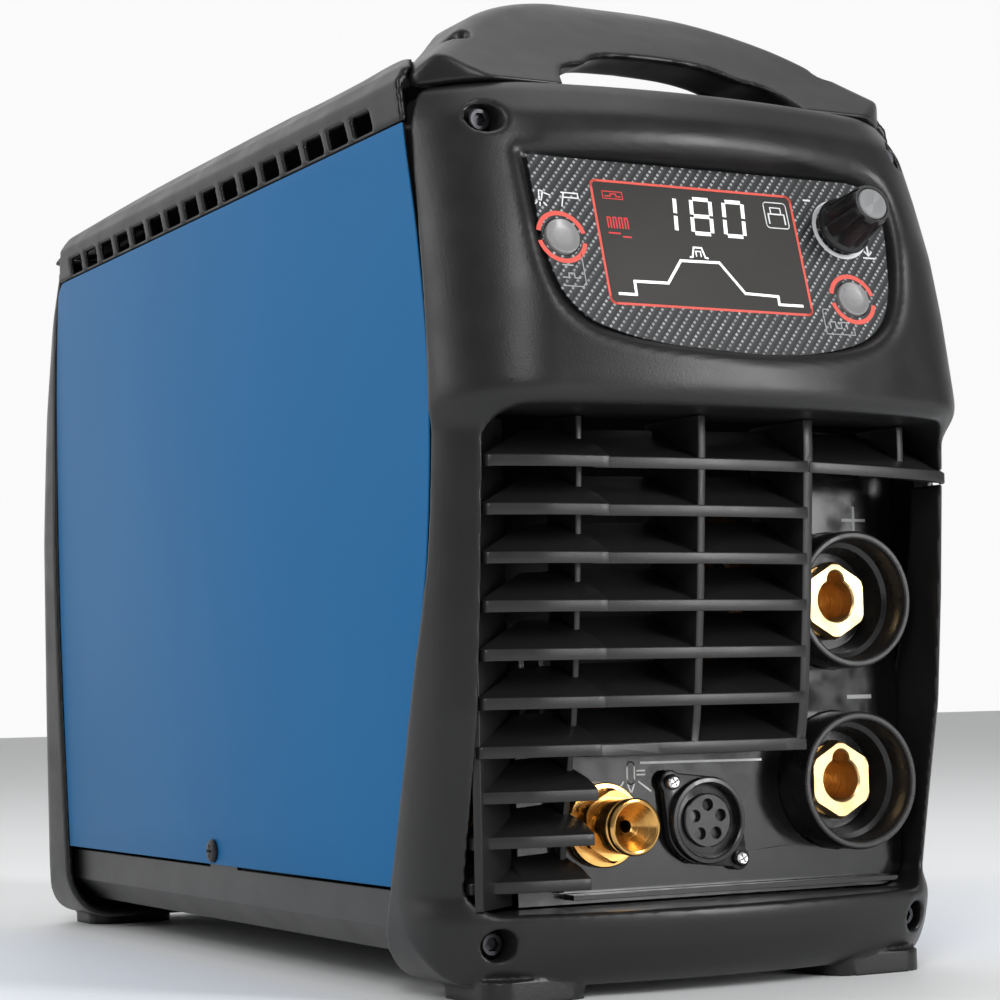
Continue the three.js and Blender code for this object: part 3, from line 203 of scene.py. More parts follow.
def blue_coat_and_painted_inner_shade(name, colour, roughness):
    """Powder coat outside; painted shade, near black, on the inner face of the side panels, where the inside
    of the case is dark.
    """
    surface = Surface(name, colour, roughness)
    axes = surface.node("ShaderNodeSeparateXYZ", Vector=surface.coordinates)
    outside = surface.maths("GREATER_THAN", surface.maths("ABSOLUTE", axes.outputs[0]), PAINTED_FACE * MM)
    # painted shade: the inner face is near black, standing in for the dark inside of the case
    shade = surface.mix(outside, linear(14, 14, 15), surface.mottle(60, 0.015))
    surface.put(surface.shader.inputs["Base Color"], shade)
    surface.shader.inputs["Specular IOR Level"].default_value = 0.15
    surface.bump(surface.noise(1.3, 2), 0.01)
    return surface.material


def machined(name, colour, roughness, turning=(0.02, 1, 0.02), metallic=1.0):
    """Turned metal with fine tool lines across one axis."""
    surface = Surface(name, colour, roughness, metallic)
    surface.mottle(5, 0.12)
    lines = surface.noise(0.22, 2, turning)
    surface.put(surface.shader.inputs["Roughness"],
                surface.ranged(lines, roughness * 0.6, roughness * 1.5))
    surface.bump(lines, 0.006)
    return surface.material


def wound_wire(name, colour):
    surface = Surface(name, colour, 0.3, 0.4)
    surface.mottle(6, 0.25)
    wave = surface.node("ShaderNodeTexWave", Vector=surface.scaled([1 / (1.6 * MM)] * 3), Scale=1.0,
                        Distortion=0.6)
    surface.bump(wave.outputs["Fac"], 0.3)
    return surface.material


def circuit_board(name):
    surface = Surface(name, linear(22, 84, 48), 0.35)
    brick = surface.node("ShaderNodeTexBrick", Vector=surface.scaled([1 / (9 * MM)] * 3), Scale=1.0)
    brick.inputs["Color1"].default_value = (*linear(22, 84, 48), 1)
    brick.inputs["Color2"].default_value = (*linear(16, 70, 40), 1)
    brick.inputs["Mortar"].default_value = (*linear(60, 130, 70), 1)
    surface.put(surface.shader.inputs["Base Color"], brick.outputs["Color"])
    surface.bump(brick.outputs["Fac"], 0.05)
    return surface.material


PAINTED_FACE = 88.2                     # |x| beyond which a side panel is painted blue; nearer the middle its inner face gets painted shade
PANEL_TILT = math.radians(16)           # the control panel leans back
WEAVE = {"angle": math.radians(50), "row": 2.5, "dash": 1.55, "shift": 0.37}
WEAVE_SHARE = {"line": 0.3, "dash": 0.55, "light": 0.62}    # of a row, of a dash step, of a row


def carbon_label(name):
    """Printed film: slanting rows of small pale dashes on a dark twill."""
    surface = Surface(name, linear(40, 41, 43), 0.42)
    axes = surface.node("ShaderNodeSeparateXYZ", Vector=surface.coordinates)
    across = surface.maths("DIVIDE", axes.outputs[0], MM)
    up = surface.maths("DIVIDE", axes.outputs[2], MM * math.cos(PANEL_TILT))
    cos, sin = math.cos(WEAVE["angle"]), math.sin(WEAVE["angle"])
    along = surface.maths("ADD", surface.maths("MULTIPLY", across, cos), surface.maths("MULTIPLY", up, sin))
    over = surface.maths(
        "SUBTRACT", surface.maths("MULTIPLY", across, sin), surface.maths("MULTIPLY", up, cos))
    row = surface.maths("DIVIDE", over, WEAVE["row"])
    line = surface.maths("LESS_THAN", surface.maths("FRACT", row), WEAVE_SHARE["line"])
    step = surface.maths("ADD", surface.maths("DIVIDE", along, WEAVE["dash"]),
                         surface.maths("MULTIPLY", surface.maths("FLOOR", row), WEAVE["shift"]))
    inked = surface.maths("LESS_THAN", surface.maths("FRACT", step), WEAVE_SHARE["dash"])
    dash = surface.maths("MULTIPLY", line, inked)
    shine = surface.ranged(surface.noise(6), 0.35, 1.0)
    base = surface.mix(surface.maths("LESS_THAN", surface.maths("FRACT", row), WEAVE_SHARE["light"]),
                       linear(34, 35, 37), linear(50, 51, 53))
    colour = surface.mix(surface.maths("MULTIPLY", dash, shine), base, linear(170, 172, 174))
    surface.put(surface.shader.inputs["Base Color"], colour)
    surface.bump(dash, 0.01)
    surface.shader.inputs["Specular IOR Level"].default_value = 0.25
    return surface.material


def glowing(name, colour, strength):
    """Backlit ink on the display."""
    surface = Surface(name, colour, 0.4)
    surface.put(surface.shader.inputs["Emission Color"], surface.mottle(4, 0.06))
    surface.shader.inputs["Emission Strength"].default_value = strength
    return surface.material


def printed(name, colour):
    surface = Surface(name, colour, 0.45)
    surface.mottle(3, 0.05)
    surface.bump(surface.noise(0.3), 0.004)
    return surface.material


def display_glass(name):
    surface = Surface(name, linear(60, 59, 57), 0.55)
    surface.mottle(45, 0.04)
    surface.uneven_gloss(15, 0.03)
    surface.bump(surface.noise(0.8), 0.002)
    surface.shader.inputs["Specular IOR Level"].default_value = 0.12
    return surface.material


MATERIALS = {
    "bezel": moulded("bezel_abs", linear(28, 28, 28), 0.36, 0.5, 0.02),
    "black": moulded("black_abs", linear(14, 14, 15), 0.36, 0.45, 0.018),
    "gloss": gloss_plastic("gloss_black", linear(14, 14, 15), 0.16),
    "satin": gloss_plastic("satin_black", linear(24, 24, 25), 0.3),
    "blue": blue_coat_and_painted_inner_shade("blue_powder_coat_and_painted_inner_shade", linear(24, 103, 157), 0.45),
    "black_paint": powder_coat("black_powder_coat", linear(20, 20, 21), 0.4),
    "brass": machined("polished_brass", [0.74, 0.42, 0.13], 0.2),
    "pale_brass": machined("faced_brass", [0.78, 0.55, 0.27], 0.34),
    "steel": machined("bright_zinc", [0.62, 0.62, 0.63], 0.25),
    "dark_steel": machined("black_oxide", [0.045, 0.045, 0.05], 0.35),
    "aluminium": machined("extruded_aluminium", [0.62, 0.63, 0.65], 0.35, (1, 0.02, 1)),
    "label": carbon_label("carbon_label"),
    "display": display_glass("display_window"),
    "white_ink": printed("white_ink", linear(225, 226, 228)),
    "grey_ink": printed("grey_ink", linear(150, 152, 154)),
    "red_ink": printed("red_ink", linear(214, 74, 58)),
    "white_glow": glowing("white_segments", linear(240, 241, 242), 0.35),
    "red_glow": glowing("red_segments", linear(190, 28, 30), 0.25),
    "key": gloss_plastic("key_grey", linear(132, 132, 133), 0.32),
    "cap": moulded("cap_grey", linear(118, 119, 120), 0.5, 0.5, 0.05),
    "rocker": gloss_plastic("rocker_red", linear(150, 22, 18), 0.25),
    "board": circuit_board("solder_mask"),
    "winding": wound_wire("enamelled_wire", [0.5, 0.2, 0.07]),
    "ferrite": moulded("ferrite", linear(46, 46, 48), 0.6, 0.7, 0.03),
    "sleeve": gloss_plastic("capacitor_sleeve", linear(30, 34, 44), 0.3),
    "hose": gloss_plastic("hose_blue", linear(38, 70, 128), 0.4),
}


# ---- Curves and distance fields ----
def spline(points, count):
    """A smooth curve through the points, as `count` even steps."""
    points = np.array(points, float)
    last = len(points) - 1
    curve = []
    for t in np.linspace(0, last, count + 1):
        i = min(int(t), last - 1)
        w = t - i
        p0, p1, p2, p3 = (points[min(max(k, 0), last)] for k in (i - 1, i, i + 1, i + 2))
        v0, v1 = (p2 - p0) / 2, (p3 - p1) / 2
        cube = 2 * p1 - 2 * p2 + v0 + v1
        square = -3 * p1 + 3 * p2 - 2 * v0 - v1
        curve.append(cube * w**3 + square * w**2 + v0 * w + p1)
    return np.array(curve)


def smooth_max(a, b, blend):
    if blend == 0:
        return np.maximum(a, b)
    near = np.maximum(blend - np.abs(a - b), 0) / blend
    return np.maximum(a, b) + near * near * blend / 4


def remove(body, tool, blend=0.0):
    return smooth_max(body, -tool, blend)


def round_corner(a, b, radius):
    """Both sides of a corner, met by an arc of this radius."""
    a, b = a + radius, b + radius
    return np.minimum(np.maximum(a, b), 0) + np.hypot(np.maximum(a, 0), np.maximum(b, 0)) - radius


def between(value, start, end):
    return np.maximum(start - value, value - end)


def rounded_box(u, v, u0, u1, v0, v1, radius):
    return round_corner(between(u, u0, u1), between(v, v0, v1), radius)


def disc(u, v, centre_u, centre_v, radius):
    return np.hypot(u - centre_u, v - centre_v) - radius


def outline_distance(u, v, points):
    """Signed distance to a closed outline, for u and v that spread over each other."""
    inside = np.zeros(np.broadcast(u, v).shape, bool)
    nearest = np.full(inside.shape, 1e12, np.float32)
    for (au, av), (bu, bv) in zip(points, np.roll(points, -1, axis=0)):
        du, dv = bu - au, bv - av
        if du == 0 and dv == 0:
            continue
        t = np.clip(((u - au) * du + (v - av) * dv) / (du * du + dv * dv), 0, 1)
        nearest = np.minimum(nearest, (u - au - t * du) ** 2 + (v - av - t * dv) ** 2)
        if dv != 0:
            inside ^= ((av > v) != (bv > v)) & (u < du * (v - av) / dv + au)
    return np.where(inside, -1, 1) * np.sqrt(nearest)


def profile_curve(stations, soften=2.0):
    """A smooth function of height through [height, value] stations."""
    heights, values = np.array(stations, float).T
    z = np.arange(heights[0] - 12, heights[-1] + 12, 0.25)
    kernel = np.exp(-0.5 * (np.arange(-24, 25) * 0.25 / soften) ** 2)
    curve = np.interp(z, heights, values)
    curve = np.convolve(np.pad(curve, 24, mode="edge"), kernel / kernel.sum(), mode="valid")
    return lambda height: np.interp(height, z, curve).astype(np.float32)


# ---- Making pieces ----
def placed(name, data):
    """A new object in the scene that carries this data."""
    made = bpy.data.objects.new(name, data)
    bpy.context.scene.collection.objects.link(made)
    return made


def add_piece(name, mesh, body, material, stands_for=()):
    piece = placed(name, mesh)
    mesh.materials.clear()
    mesh.materials.append(MATERIALS[material])
    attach(piece, body)
    if stands_for:
        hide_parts(*stands_for)


def mesh_of(name, points, faces):
    """A mesh from millimetre points, with its normals outward."""
    mesh = bpy.data.meshes.new(name)
    mesh.from_pydata([tuple(float(c) * MM for c in p) for p in points], [], faces)
    shape = bmesh.new()
    shape.from_mesh(mesh)
    bmesh.ops.remove_doubles(shape, verts=shape.verts, dist=1e-7)
    bmesh.ops.recalc_face_normals(shape, faces=shape.faces)
    shape.to_mesh(mesh)
    shape.free()
    return mesh


def smoothed(mesh, angle=35):
    mesh.shade_smooth()
    mesh.set_sharp_from_angle(angle=math.radians(angle))
    return mesh


def sculpted(name, lowest, highest, field, keep, step=VOXEL):
    """The surface where a distance field is zero, as a mesh thinned to `keep` of its faces."""
    axes = [np.arange(a - 3 * step, b + 3 * step, step, dtype=np.float32) for a, b in zip(lowest, highest)]
    x, y, z = axes[0][:, None, None], axes[1][None, :, None], axes[2][None, None, :]
    values = np.broadcast_to(field(x, y, z), [len(a) for a in axes])
    grid = openvdb.FloatGrid(BAND * step)
    grid.copyFromArray(np.clip(values, -BAND * step, BAND * step).astype(np.float32))
    points, _, quads = grid.convertToPolygons(0.0, 0.0)
    points = points * step + np.array([a[0] for a in axes])
    mesh = bpy.data.meshes.new(name)
    mesh.vertices.add(len(points))
    mesh.vertices.foreach_set("co", (points * MM).astype(np.float32).ravel())
    mesh.loops.add(4 * len(quads))
    mesh.loops.foreach_set("vertex_index", quads[:, ::-1].astype(np.int32).ravel())
    mesh.polygons.add(len(quads))
    mesh.polygons.foreach_set("loop_start", np.arange(len(quads), dtype=np.int32) * 4)
    mesh.update(calc_edges=True)
    mesh.validate()
    return thinned(mesh, keep)


def thinned(mesh, keep):
    mesh.shade_smooth()
    holder = placed("holder", mesh)
    holder.modifiers.new("thin", "DECIMATE").ratio = keep
    holder.modifiers.new("normals", "WEIGHTED_NORMAL").keep_sharp = False
    return baked(holder)


def baked(holder):
    """The holder's mesh with its modifiers applied; the holder itself is removed."""
    name = holder.data.name
    graph = bpy.context.evaluated_depsgraph_get()
    mesh = bpy.data.meshes.new_from_object(holder.evaluated_get(graph))
    bpy.data.objects.remove(holder)
    mesh.name = name
    return mesh


def soften(piece, width, angle=30):
    """Round the edges where faces meet at more than this angle, in degrees."""
    bevel = piece.modifiers.new("soft_edges", "BEVEL")
    bevel.width = width * MM
    bevel.segments = 2
    bevel.limit_method = "ANGLE"
    bevel.angle_limit = math.radians(angle)


def bevelled(mesh, width):
    holder = placed("holder", mesh)
    soften(holder, width)
    return smoothed(baked(holder))


def combined(operation, meshes):
    """The first of some closed meshes, united with the others or cut by them."""
    holder = placed("holder", meshes[0])
    others = [placed("part", mesh) for mesh in meshes[1:]]
    for other in others:
        step = holder.modifiers.new("combine", "BOOLEAN")
        step.operation = operation
        step.solver = "MANIFOLD"
        step.object = other
    mesh = baked(holder)
    for other in others:
        bpy.data.objects.remove(other)
    return smoothed(mesh)


# ---- Frames that shapes are drawn in: columns are u, v and w (out of the face) ----
def face_frame(u, v, w, centre):
    return Matrix([[u[i], v[i], w[i], centre[i]] for i in range(3)] + [[0, 0, 0, 1]])


def on_front(x, z, y=0.0):
    return face_frame((1, 0, 0), (0, 0, 1), (0, -1, 0), (x, y, z))


def on_rear(x, z, y=0.0):
    return face_frame((-1, 0, 0), (0, 0, 1), (0, 1, 0), (x, y, z))


PANEL_CENTRE = (0.0, -185.5, 215.0)
PANEL_UP = (0, math.sin(PANEL_TILT), math.cos(PANEL_TILT))
PANEL_OUT = (0, -math.cos(PANEL_TILT), math.sin(PANEL_TILT))


def on_panel(u=0.0, v=0.0, w=0.0):
    frame_of_panel = face_frame((1, 0, 0), PANEL_UP, PANEL_OUT, PANEL_CENTRE)
    return frame_of_panel @ Matrix.Translation((u, v, w))


def turned(name, rings, place, segments=72, angle=30):
    """A closed turned piece. Rings list (radius or radius function of angle, w); both ends close."""
    angles = np.linspace(0, 2 * math.pi, segments, endpoint=False)
    points, faces = [], []
    for radius, w in rings:
        for a in angles:
            r = radius(a) if callable(radius) else radius
            points.append(place @ Vector((r * math.cos(a), r * math.sin(a), w)))
    for i in range(len(rings) - 1):
        for j in range(segments):
            k = (j + 1) % segments
            a, b = i * segments, (i + 1) * segments
            faces.append((a + j, a + k, b + k, b + j))
    first = tuple(range(segments))
    final = tuple(range((len(rings) - 1) * segments, len(rings) * segments))
    if not callable(rings[0][0]) and rings[0] == rings[-1]:
        faces = [tuple(v % ((len(rings) - 1) * segments) for v in face) for face in faces]
        points = points[:(len(rings) - 1) * segments]
    else:
        faces += [first, final]
    return smoothed(mesh_of(name, points, faces), angle)


def prism(name, outline, w0, w1, place, edge=0.3):
    """An outline in u and v, from w0 to w1, with soft edges."""
    count = len(outline)
    points = [place @ Vector((u, v, w)) for w in (w0, w1) for u, v in outline]
    faces = [tuple(range(count)), tuple(range(count, 2 * count))]
    faces += [(i, (i + 1) % count, count + (i + 1) % count, count + i) for i in range(count)]
    mesh = mesh_of(name, points, faces)
    return bevelled(mesh, edge) if edge else smoothed(mesh)


def arc(centre_u, centre_v, radius, start, end, count):
    """Points along an arc, in degrees."""
    return [(centre_u + radius * math.cos(a), centre_v + radius * math.sin(a))
            for a in np.radians(np.linspace(start, end, count))]


def rounded(u0, v0, u1, v1, radius, count=6):
    corners = [(u1 - radius, v0 + radius, -90), (u1 - radius, v1 - radius, 0),
               (u0 + radius, v1 - radius, 90), (u0 + radius, v0 + radius, 180)]
    return [p for cu, cv, a in corners for p in arc(cu, cv, radius, a, a + 90, count)]


def closed(points):
    return [*points, points[0]]


def hexagonal(across_flats, turn=0.0):
    """Radius of a hexagon at each angle."""
    def radius(a):
        sector = (a + turn) % (math.pi / 3) - math.pi / 6
        return across_flats / 2 / math.cos(sector)
    return radius


def capped(radius, limit, less=0.0):
    """A radius function held under a limit, then made smaller all round."""
    return lambda a: min(radius(a), limit) - less


def joined(name, meshes):
    """Separate closed meshes carried as one."""
    shape = bmesh.new()
    for mesh in meshes:
        shape.from_mesh(mesh)
        bpy.data.meshes.remove(mesh)
    whole = bpy.data.meshes.new(name)
    shape.to_mesh(whole)
    shape.free()
    return whole


def add_turned(name, rings, place, look, stands_for, segments, angle=30, body="case"):
    add_piece(name, turned(name, rings, place, segments, angle), body, look, stands_for)


# ---- End bezels ----
BEZEL_TOP = high("front_bezel")[2]
FRONT_FACE = low("front_bezel")[1]
HALF_WIDTH = high("front_bezel")[0]
GROUND_GAP = 2.5
BOTTOM_RADIUS = 20.0
FRONT = {"bow": 262.0, "corner": 24.0}
REAR = {"bow": 620.0, "corner": 18.0}
MOUTH = {"x": 79.5, "z0": 25.0, "z1": 167.0, "r": 9.0}
REAR_MOUTH = {"x": 74.0, "z0": 20.0, "z1": 248.0, "r": 14.0}
PLATE_BACK = high("connector_plate")[1]
REAR_FACE = high("rear_bezel")[1] + REAR_MOUTH["x"] ** 2 / (2 * REAR["bow"])
SHOULDER = {"z": 150.0, "narrowing": 1.2, "corner": 10.0}   # the bezels narrow above this height
INNER_SIDE = low("right_side_panel")[0] - GAP               # just inside the side panels
TONGUE = {"w0": -4.6, "w1": -2.2, "ahead": 6, "behind": 5}  # rib that backs the front seam
MOUTH_RIM = 2.5                                             # how far a mouth's lining stands inside it
FRONT_SCREW = {"boss": 7.0, "boss_depth": 8.5, "hole": 4.5, "seat": 2.6}
REAR_SCREW = {"boss": 6.0, "boss_start": 172.0, "hole": 3.7, "seat": 2.6}
PANEL_HOLE = 5.9                                            # under the knob and the keys
WINDOW_MARGIN = 0.4
TOP_SLAT_NOTCH = {"x0": 78, "x1": 95, "below": 3.6, "above": 0.9, "y1": -162}
FRONT_SCREWS = [f"front_screw_{i}" for i in range(1, 5)]
REAR_SCREWS = [f"rear_screw_{i}" for i in range(1, 5)]
# Set back from the foremost point, at each height: bumper, recess, hood lip, hood.
front_profile = profile_curve([
    (2.5, 33), (8, 28), (14, 24.6), (22, 22.6), (25.5, 22.8), (29, 25.4), (53, 20.5), (82, 14.2), (115, 11),
    (163, 7.8), (166.5, 4), (169, 0.9), (172.5, 0), (200, 3.8), (219, 7.5), (238, 13.5), (253, 19),
    (264.5, 29)], 1.6)
rear_profile = profile_curve([
    (2.5, 11), (8, 7), (23, 4), (80, 1.5), (150, 0), (202, 0.5), (240, 5), (264.5, 14)], 3)

# Where each bezel ends against the side panels: y at each height.
front_seam = spline([(-120, -6), (-132.5, 32), (-148, 86), (-158.5, 125), (-162, 173), (-157, 215),
                     (-148, 253.5), (-138, 300)], 77)
rear_seam = spline([(150, -6), (156.7, 32), (166, 120), (168.5, 200), (165.3, 253.5), (158, 300)], 70)


def seam_at(seam, z):
    return np.interp(z, seam[:, 1], seam[:, 0]).astype(np.float32)


def shoulder(z):
    """How far up the shoulder a height lies, from 0 at its foot to 1 at the top."""
    return np.maximum(z - SHOULDER["z"], 0) / (BEZEL_TOP - SHOULDER["z"])


def outer_shell(x, depth, z, profile, form):
    """Distance outside a bezel whose foremost point is at depth 0 and which grows with depth."""
    side = np.abs(x) - HALF_WIDTH + SHOULDER["narrowing"] * shoulder(z)
    face = profile(z) + x * x / (2 * form["bow"]) - depth
    corner = form["corner"] + SHOULDER["corner"] * shoulder(z) ** 1.4
    hull = round_corner(side, face, corner)
    ground = GROUND_GAP - z
    hull = np.maximum(hull, round_corner(side, ground, BOTTOM_RADIUS))
    hull = smooth_max(hull, ground, 5)
    return smooth_max(hull, z - BEZEL_TOP, 4)


def foot_pads(x, y, z, y0, y1):
    pad = rounded_box(np.abs(x), y, 42, 76, y0, y1, 8)
    return np.maximum(pad, between(z, 0, GROUND_GAP + 4))


PANEL_EDGE = [
    (-64.6, 26.5), (-64.5, 14), (-63.7, -2.5), (-60.6, -15.6), (-54.1, -23.7), (-45.9, -27.7),
    (-30.9, -31.1), (-4.3, -33.5), (10.5, -33.3), (24, -32), (36.4, -29.1), (43.6, -25.8),
    (48.8, -21.4), (52.4, -15.6), (55, -8), (57, 4), (57.8, 13), (56.6, 20.5), (52.6, 25), (46, 26.5)]


def panel_outline(grow=0.0):
    """The control panel's outline: a wide D with its round side down."""
    edge = spline(PANEL_EDGE, 95)
    along = np.roll(edge, -1, axis=0) - np.roll(edge, 1, axis=0)
    outward = np.stack([along[:, 1], -along[:, 0]], 1) / np.hypot(along[:, 0], along[:, 1])[:, None]
    return edge + grow * outward


def panel_coordinates(y, z):
    across_y, across_z = y - PANEL_CENTRE[1], z - PANEL_CENTRE[2]
    v = across_y * PANEL_UP[1] + across_z * PANEL_UP[2]
    w = across_y * PANEL_OUT[1] + across_z * PANEL_OUT[2]
    return v, w


def panel_distance(x, v, grow):
    """Distance to the panel outline at points (x, v), read from a fine table."""
    span = np.arange(-60, 60, 0.5, dtype=np.float32)
    table = outline_distance(x[:, :, 0], span[None, :], panel_outline(grow)).astype(np.float32)
    place = np.clip((v - span[0]) / 0.5, 0, len(span) - 1.001)[0]
    whole = place.astype(int)
    part = (place - whole)[None]
    return table[:, whole] * (1 - part) + table[:, whole + 1] * part


# Places on the control panel, as (u, v) from its centre.
ENCODER = (40.6, 9.8)
KEYS = {"process_button": (-57.2, 0.4), "mode_button": (40.1, -13.2)}
KEY_RADIUS = 5.5
KEY_RING = {"inner": 6.75, "outer": 8.15, "arcs": ((12, 168), (192, 348))}
DISPLAY = (-44.5, -19.2, 24.3, 19.4)
RECESS = {"floor": -0.8, "backing": -2.8, "rim": 7.0}


def front_bezel_field(x, y, z):
    hull = outer_shell(x, y - FRONT_FACE, z, front_profile, FRONT)
    v, w = panel_coordinates(y, z)
    recess = np.maximum(panel_distance(x, v, 0), RECESS["floor"] - w)
    dished = remove(hull, recess, RECESS["rim"])
    backing = np.maximum(panel_distance(x, v, 2.5), RECESS["backing"] - w)
    body = remove(dished, remove(hull + WALL, backing))
    mouth = rounded_box(x, z, -MOUTH["x"], MOUTH["x"], MOUTH["z0"], MOUTH["z1"], MOUTH["r"])
    extras = np.maximum(mouth - MOUTH_RIM, y - PLATE_BACK)
    for name in FRONT_SCREWS:
        cx, _, cz = middle(name)
        boss = disc(x, z, cx, cz, FRONT_SCREW["boss"])
        boss = np.maximum(boss, y - low(name)[1] - FRONT_SCREW["boss_depth"])
        extras = np.minimum(extras, boss)
    body = np.minimum(body, np.maximum(extras, hull))
    body = remove(body, mouth, 1.6)
    for u, height in (ENCODER, *KEYS.values()):
        body = remove(body, np.maximum(disc(x, v, u, height, PANEL_HOLE), np.abs(w) - 6))
    u0, v0, u1, v1 = DISPLAY
    margin = WINDOW_MARGIN
    window = rounded_box(x, v, u0 - margin, u1 + margin, v0 - margin, v1 + margin, 1)
    body = remove(body, np.maximum(window, np.abs(w) - 6))
    for name in FRONT_SCREWS:
        cx, _, cz = middle(name)
        hole = np.maximum(disc(x, z, cx, cz, FRONT_SCREW["hole"]), y - low(name)[1] - FRONT_SCREW["seat"])
        body = remove(body, hole, 1.6)
    body = np.minimum(body, foot_pads(x, y, z, -168, -134))
    form = TOP_SLAT_NOTCH
    notch = np.maximum(between(x, form["x0"], form["x1"]),
                       between(z, ROWS["top"] - form["below"], ROWS["top"] + form["above"]))
    body = remove(body, np.maximum(notch, y - form["y1"]))
    seam = y - seam_at(front_seam, z)
    tongue = np.maximum(between(hull, TONGUE["w0"], TONGUE["w1"]),
                        between(seam, -TONGUE["ahead"], TONGUE["behind"]))
    body = smooth_max(body, (seam + GAP / 2) * 0.95, 2.4)
    return np.minimum(body, np.maximum(tongue, np.abs(x) - INNER_SIDE))


def rear_bezel_field(x, y, z):
    hull = outer_shell(x, REAR_FACE - y, z, rear_profile, REAR)
    body = remove(hull, hull + WALL)
    form = REAR_MOUTH
    mouth = rounded_box(x, z, -form["x"], form["x"], form["z0"], form["z1"], form["r"])
    extras = np.maximum(mouth - MOUTH_RIM, high("rear_panel")[1] + GAP - y)
    for name in REAR_SCREWS:
        cx, _, cz = middle(name)
        boss = np.maximum(disc(x, z, cx, cz, REAR_SCREW["boss"]), REAR_SCREW["boss_start"] - y)
        extras = np.minimum(extras, boss)
    body = np.minimum(body, np.maximum(extras, hull))
    body = remove(body, mouth, 3)
    for name in REAR_SCREWS:
        cx, _, cz = middle(name)
        hole = np.maximum(disc(x, z, cx, cz, REAR_SCREW["hole"]), high(name)[1] - REAR_SCREW["seat"] - y)
        body = remove(body, hole, 1)
    body = np.minimum(body, foot_pads(x, y, z, 165, 193))
    return smooth_max(body, (seam_at(rear_seam, z) + GAP / 2 - y) * 0.98, 2.4)


# ---- Carry handle ----
def mirrored(half):
    """A half outline on +X, ending on the axis or not, closed by its mirror image."""
    half = np.array(half)
    return np.vstack([half, (half * (-1, 1))[::-1]])


def handle_block(x, y, z):
    """The handle without its arch and notch: where its front, side and plan views all agree."""
    side_edge = spline([(86.5, 264), (84, 268.5), (79, 274), (69, 282), (56, 292.5), (44, 299), (29, 304.8),
                        (14, 309.5)], 40)
    front = mirrored([(86.5, 250), *side_edge, (6, 311.4), (0, 312)])
    top = spline([(-166, 264), (-150, 277), (-130, 294), (-114, 304.5), (-96, 308.2), (-40, 311.6), (10, 312),
                  (60, 308), (110, 296), (150, 282), (180, 270), (189, 264)], 90)
    under = spline([(150, 264), (120, 277), (90, 291), (60, 297.4), (10, 299), (-50, 299), (-80, 297.4),
                    (-104, 291), (-122, 280), (-146, 264)], 80)
    plan_half = spline([(86, -104), (60, -103), (30, -99), (17, -88), (13.5, -66), (13, 0), (13.5, 40),
                        (19, 66), (38, 98), (62, 132), (78, 165), (86, 190)], 80)
    plan = mirrored([(86, -175), *plan_half, (86, 195)])
    views = [outline_distance(x[:, :, 0], z[0], front)[:, None, :],
             outline_distance(y[0], z[0], np.vstack([top, under]))[None],
             outline_distance(x[:, :, 0], y[0].T, plan)[:, :, None]]
    block = smooth_max(smooth_max(views[0], views[1], 3.5), views[2], 4)
    top = np.full_like(z, BEZEL_TOP)
    side = np.abs(x) - HALF_WIDTH + SHOULDER["narrowing"]
    face = front_profile(top) + x * x / (2 * FRONT["bow"]) - (y - FRONT_FACE)
    return smooth_max(block, round_corner(side, face, FRONT["corner"] + SHOULDER["corner"]), 1.5)


def handle_arch(x, y, z, points, y_back):
    """An arch through the front of the handle, open below."""
    outline = mirrored([(points[0][0], 250), *spline(points, 30)])
    return np.maximum(outline_distance(x[:, :, 0], z[0], outline)[:, None, :], y - y_back)


# The wide mouth of the arch and the narrower passage behind it: outline, rear end, edge rounding.
ARCHES = [([(43, 264), (40, 270), (34, 274.4), (18, 276.8), (0, 277.2)], -132, 2),
          ([(31, 264), (29.5, 271), (25, 277.4), (16, 280.6), (0, 281.6)], 0, 2.5)]


def handle_field(x, y, z):
    body = handle_block(x, y, z)
    for points, y_back, rounding in ARCHES:
        body = remove(body, handle_arch(x, y, z, points, y_back), rounding)
    notch = spline([(0, 88), (16, 99), (32, 121), (48, 152), (58, 198)], 30)[::-1]
    body = remove(body, outline_distance(x[:, :, 0], y[0].T, mirrored(notch))[:, :, None], 4)
    for side in ("left", "right"):
        cx, cy, _ = middle(f"{side}_handle_screw")
        dimple = np.maximum(disc(x, y, cx, cy, 3.6), low(f"{side}_handle_screw")[2] - 0.4 - z)
        body = remove(body, dimple, 1.2)
    return smooth_max(body, low("carry_handle")[2] - z, 1.2)


# ---- Top cover with its side louvres ----
LOUVRE = {"first": -128.0, "pitch": 17.6, "width": 13.0, "count": 16, "z0": 255.3, "z1": 261.8, "lean": 3.0,
          "inner_x": 80.0}


def cover_section(inset):
    """The cover's cross-section: a dished top between two shoulders."""
    edge = high("top_cover")[0] - inset
    half = [(edge, 249), (edge, 266.5 - inset / 2), (85 - inset, 272 - inset / 2), (78 - inset, 278 - inset),
            (72, 280 - inset), (66 + inset, 278.4 - inset), (57 + inset, 270 - inset), (40, 266.8 - inset),
            (0, 265.6 - inset)]
    return mirrored(half)


COVER_SHEET = 2.4
COVER_RIDGE = [
    (-150, 268), (-128, 278), (-100, 277.2), (-70, 277.4), (-40, 279.2), (-10, 280), (40, 279.9),
    (80, 278.4), (110, 276.8), (140, 274.4), (170, 271.6)]


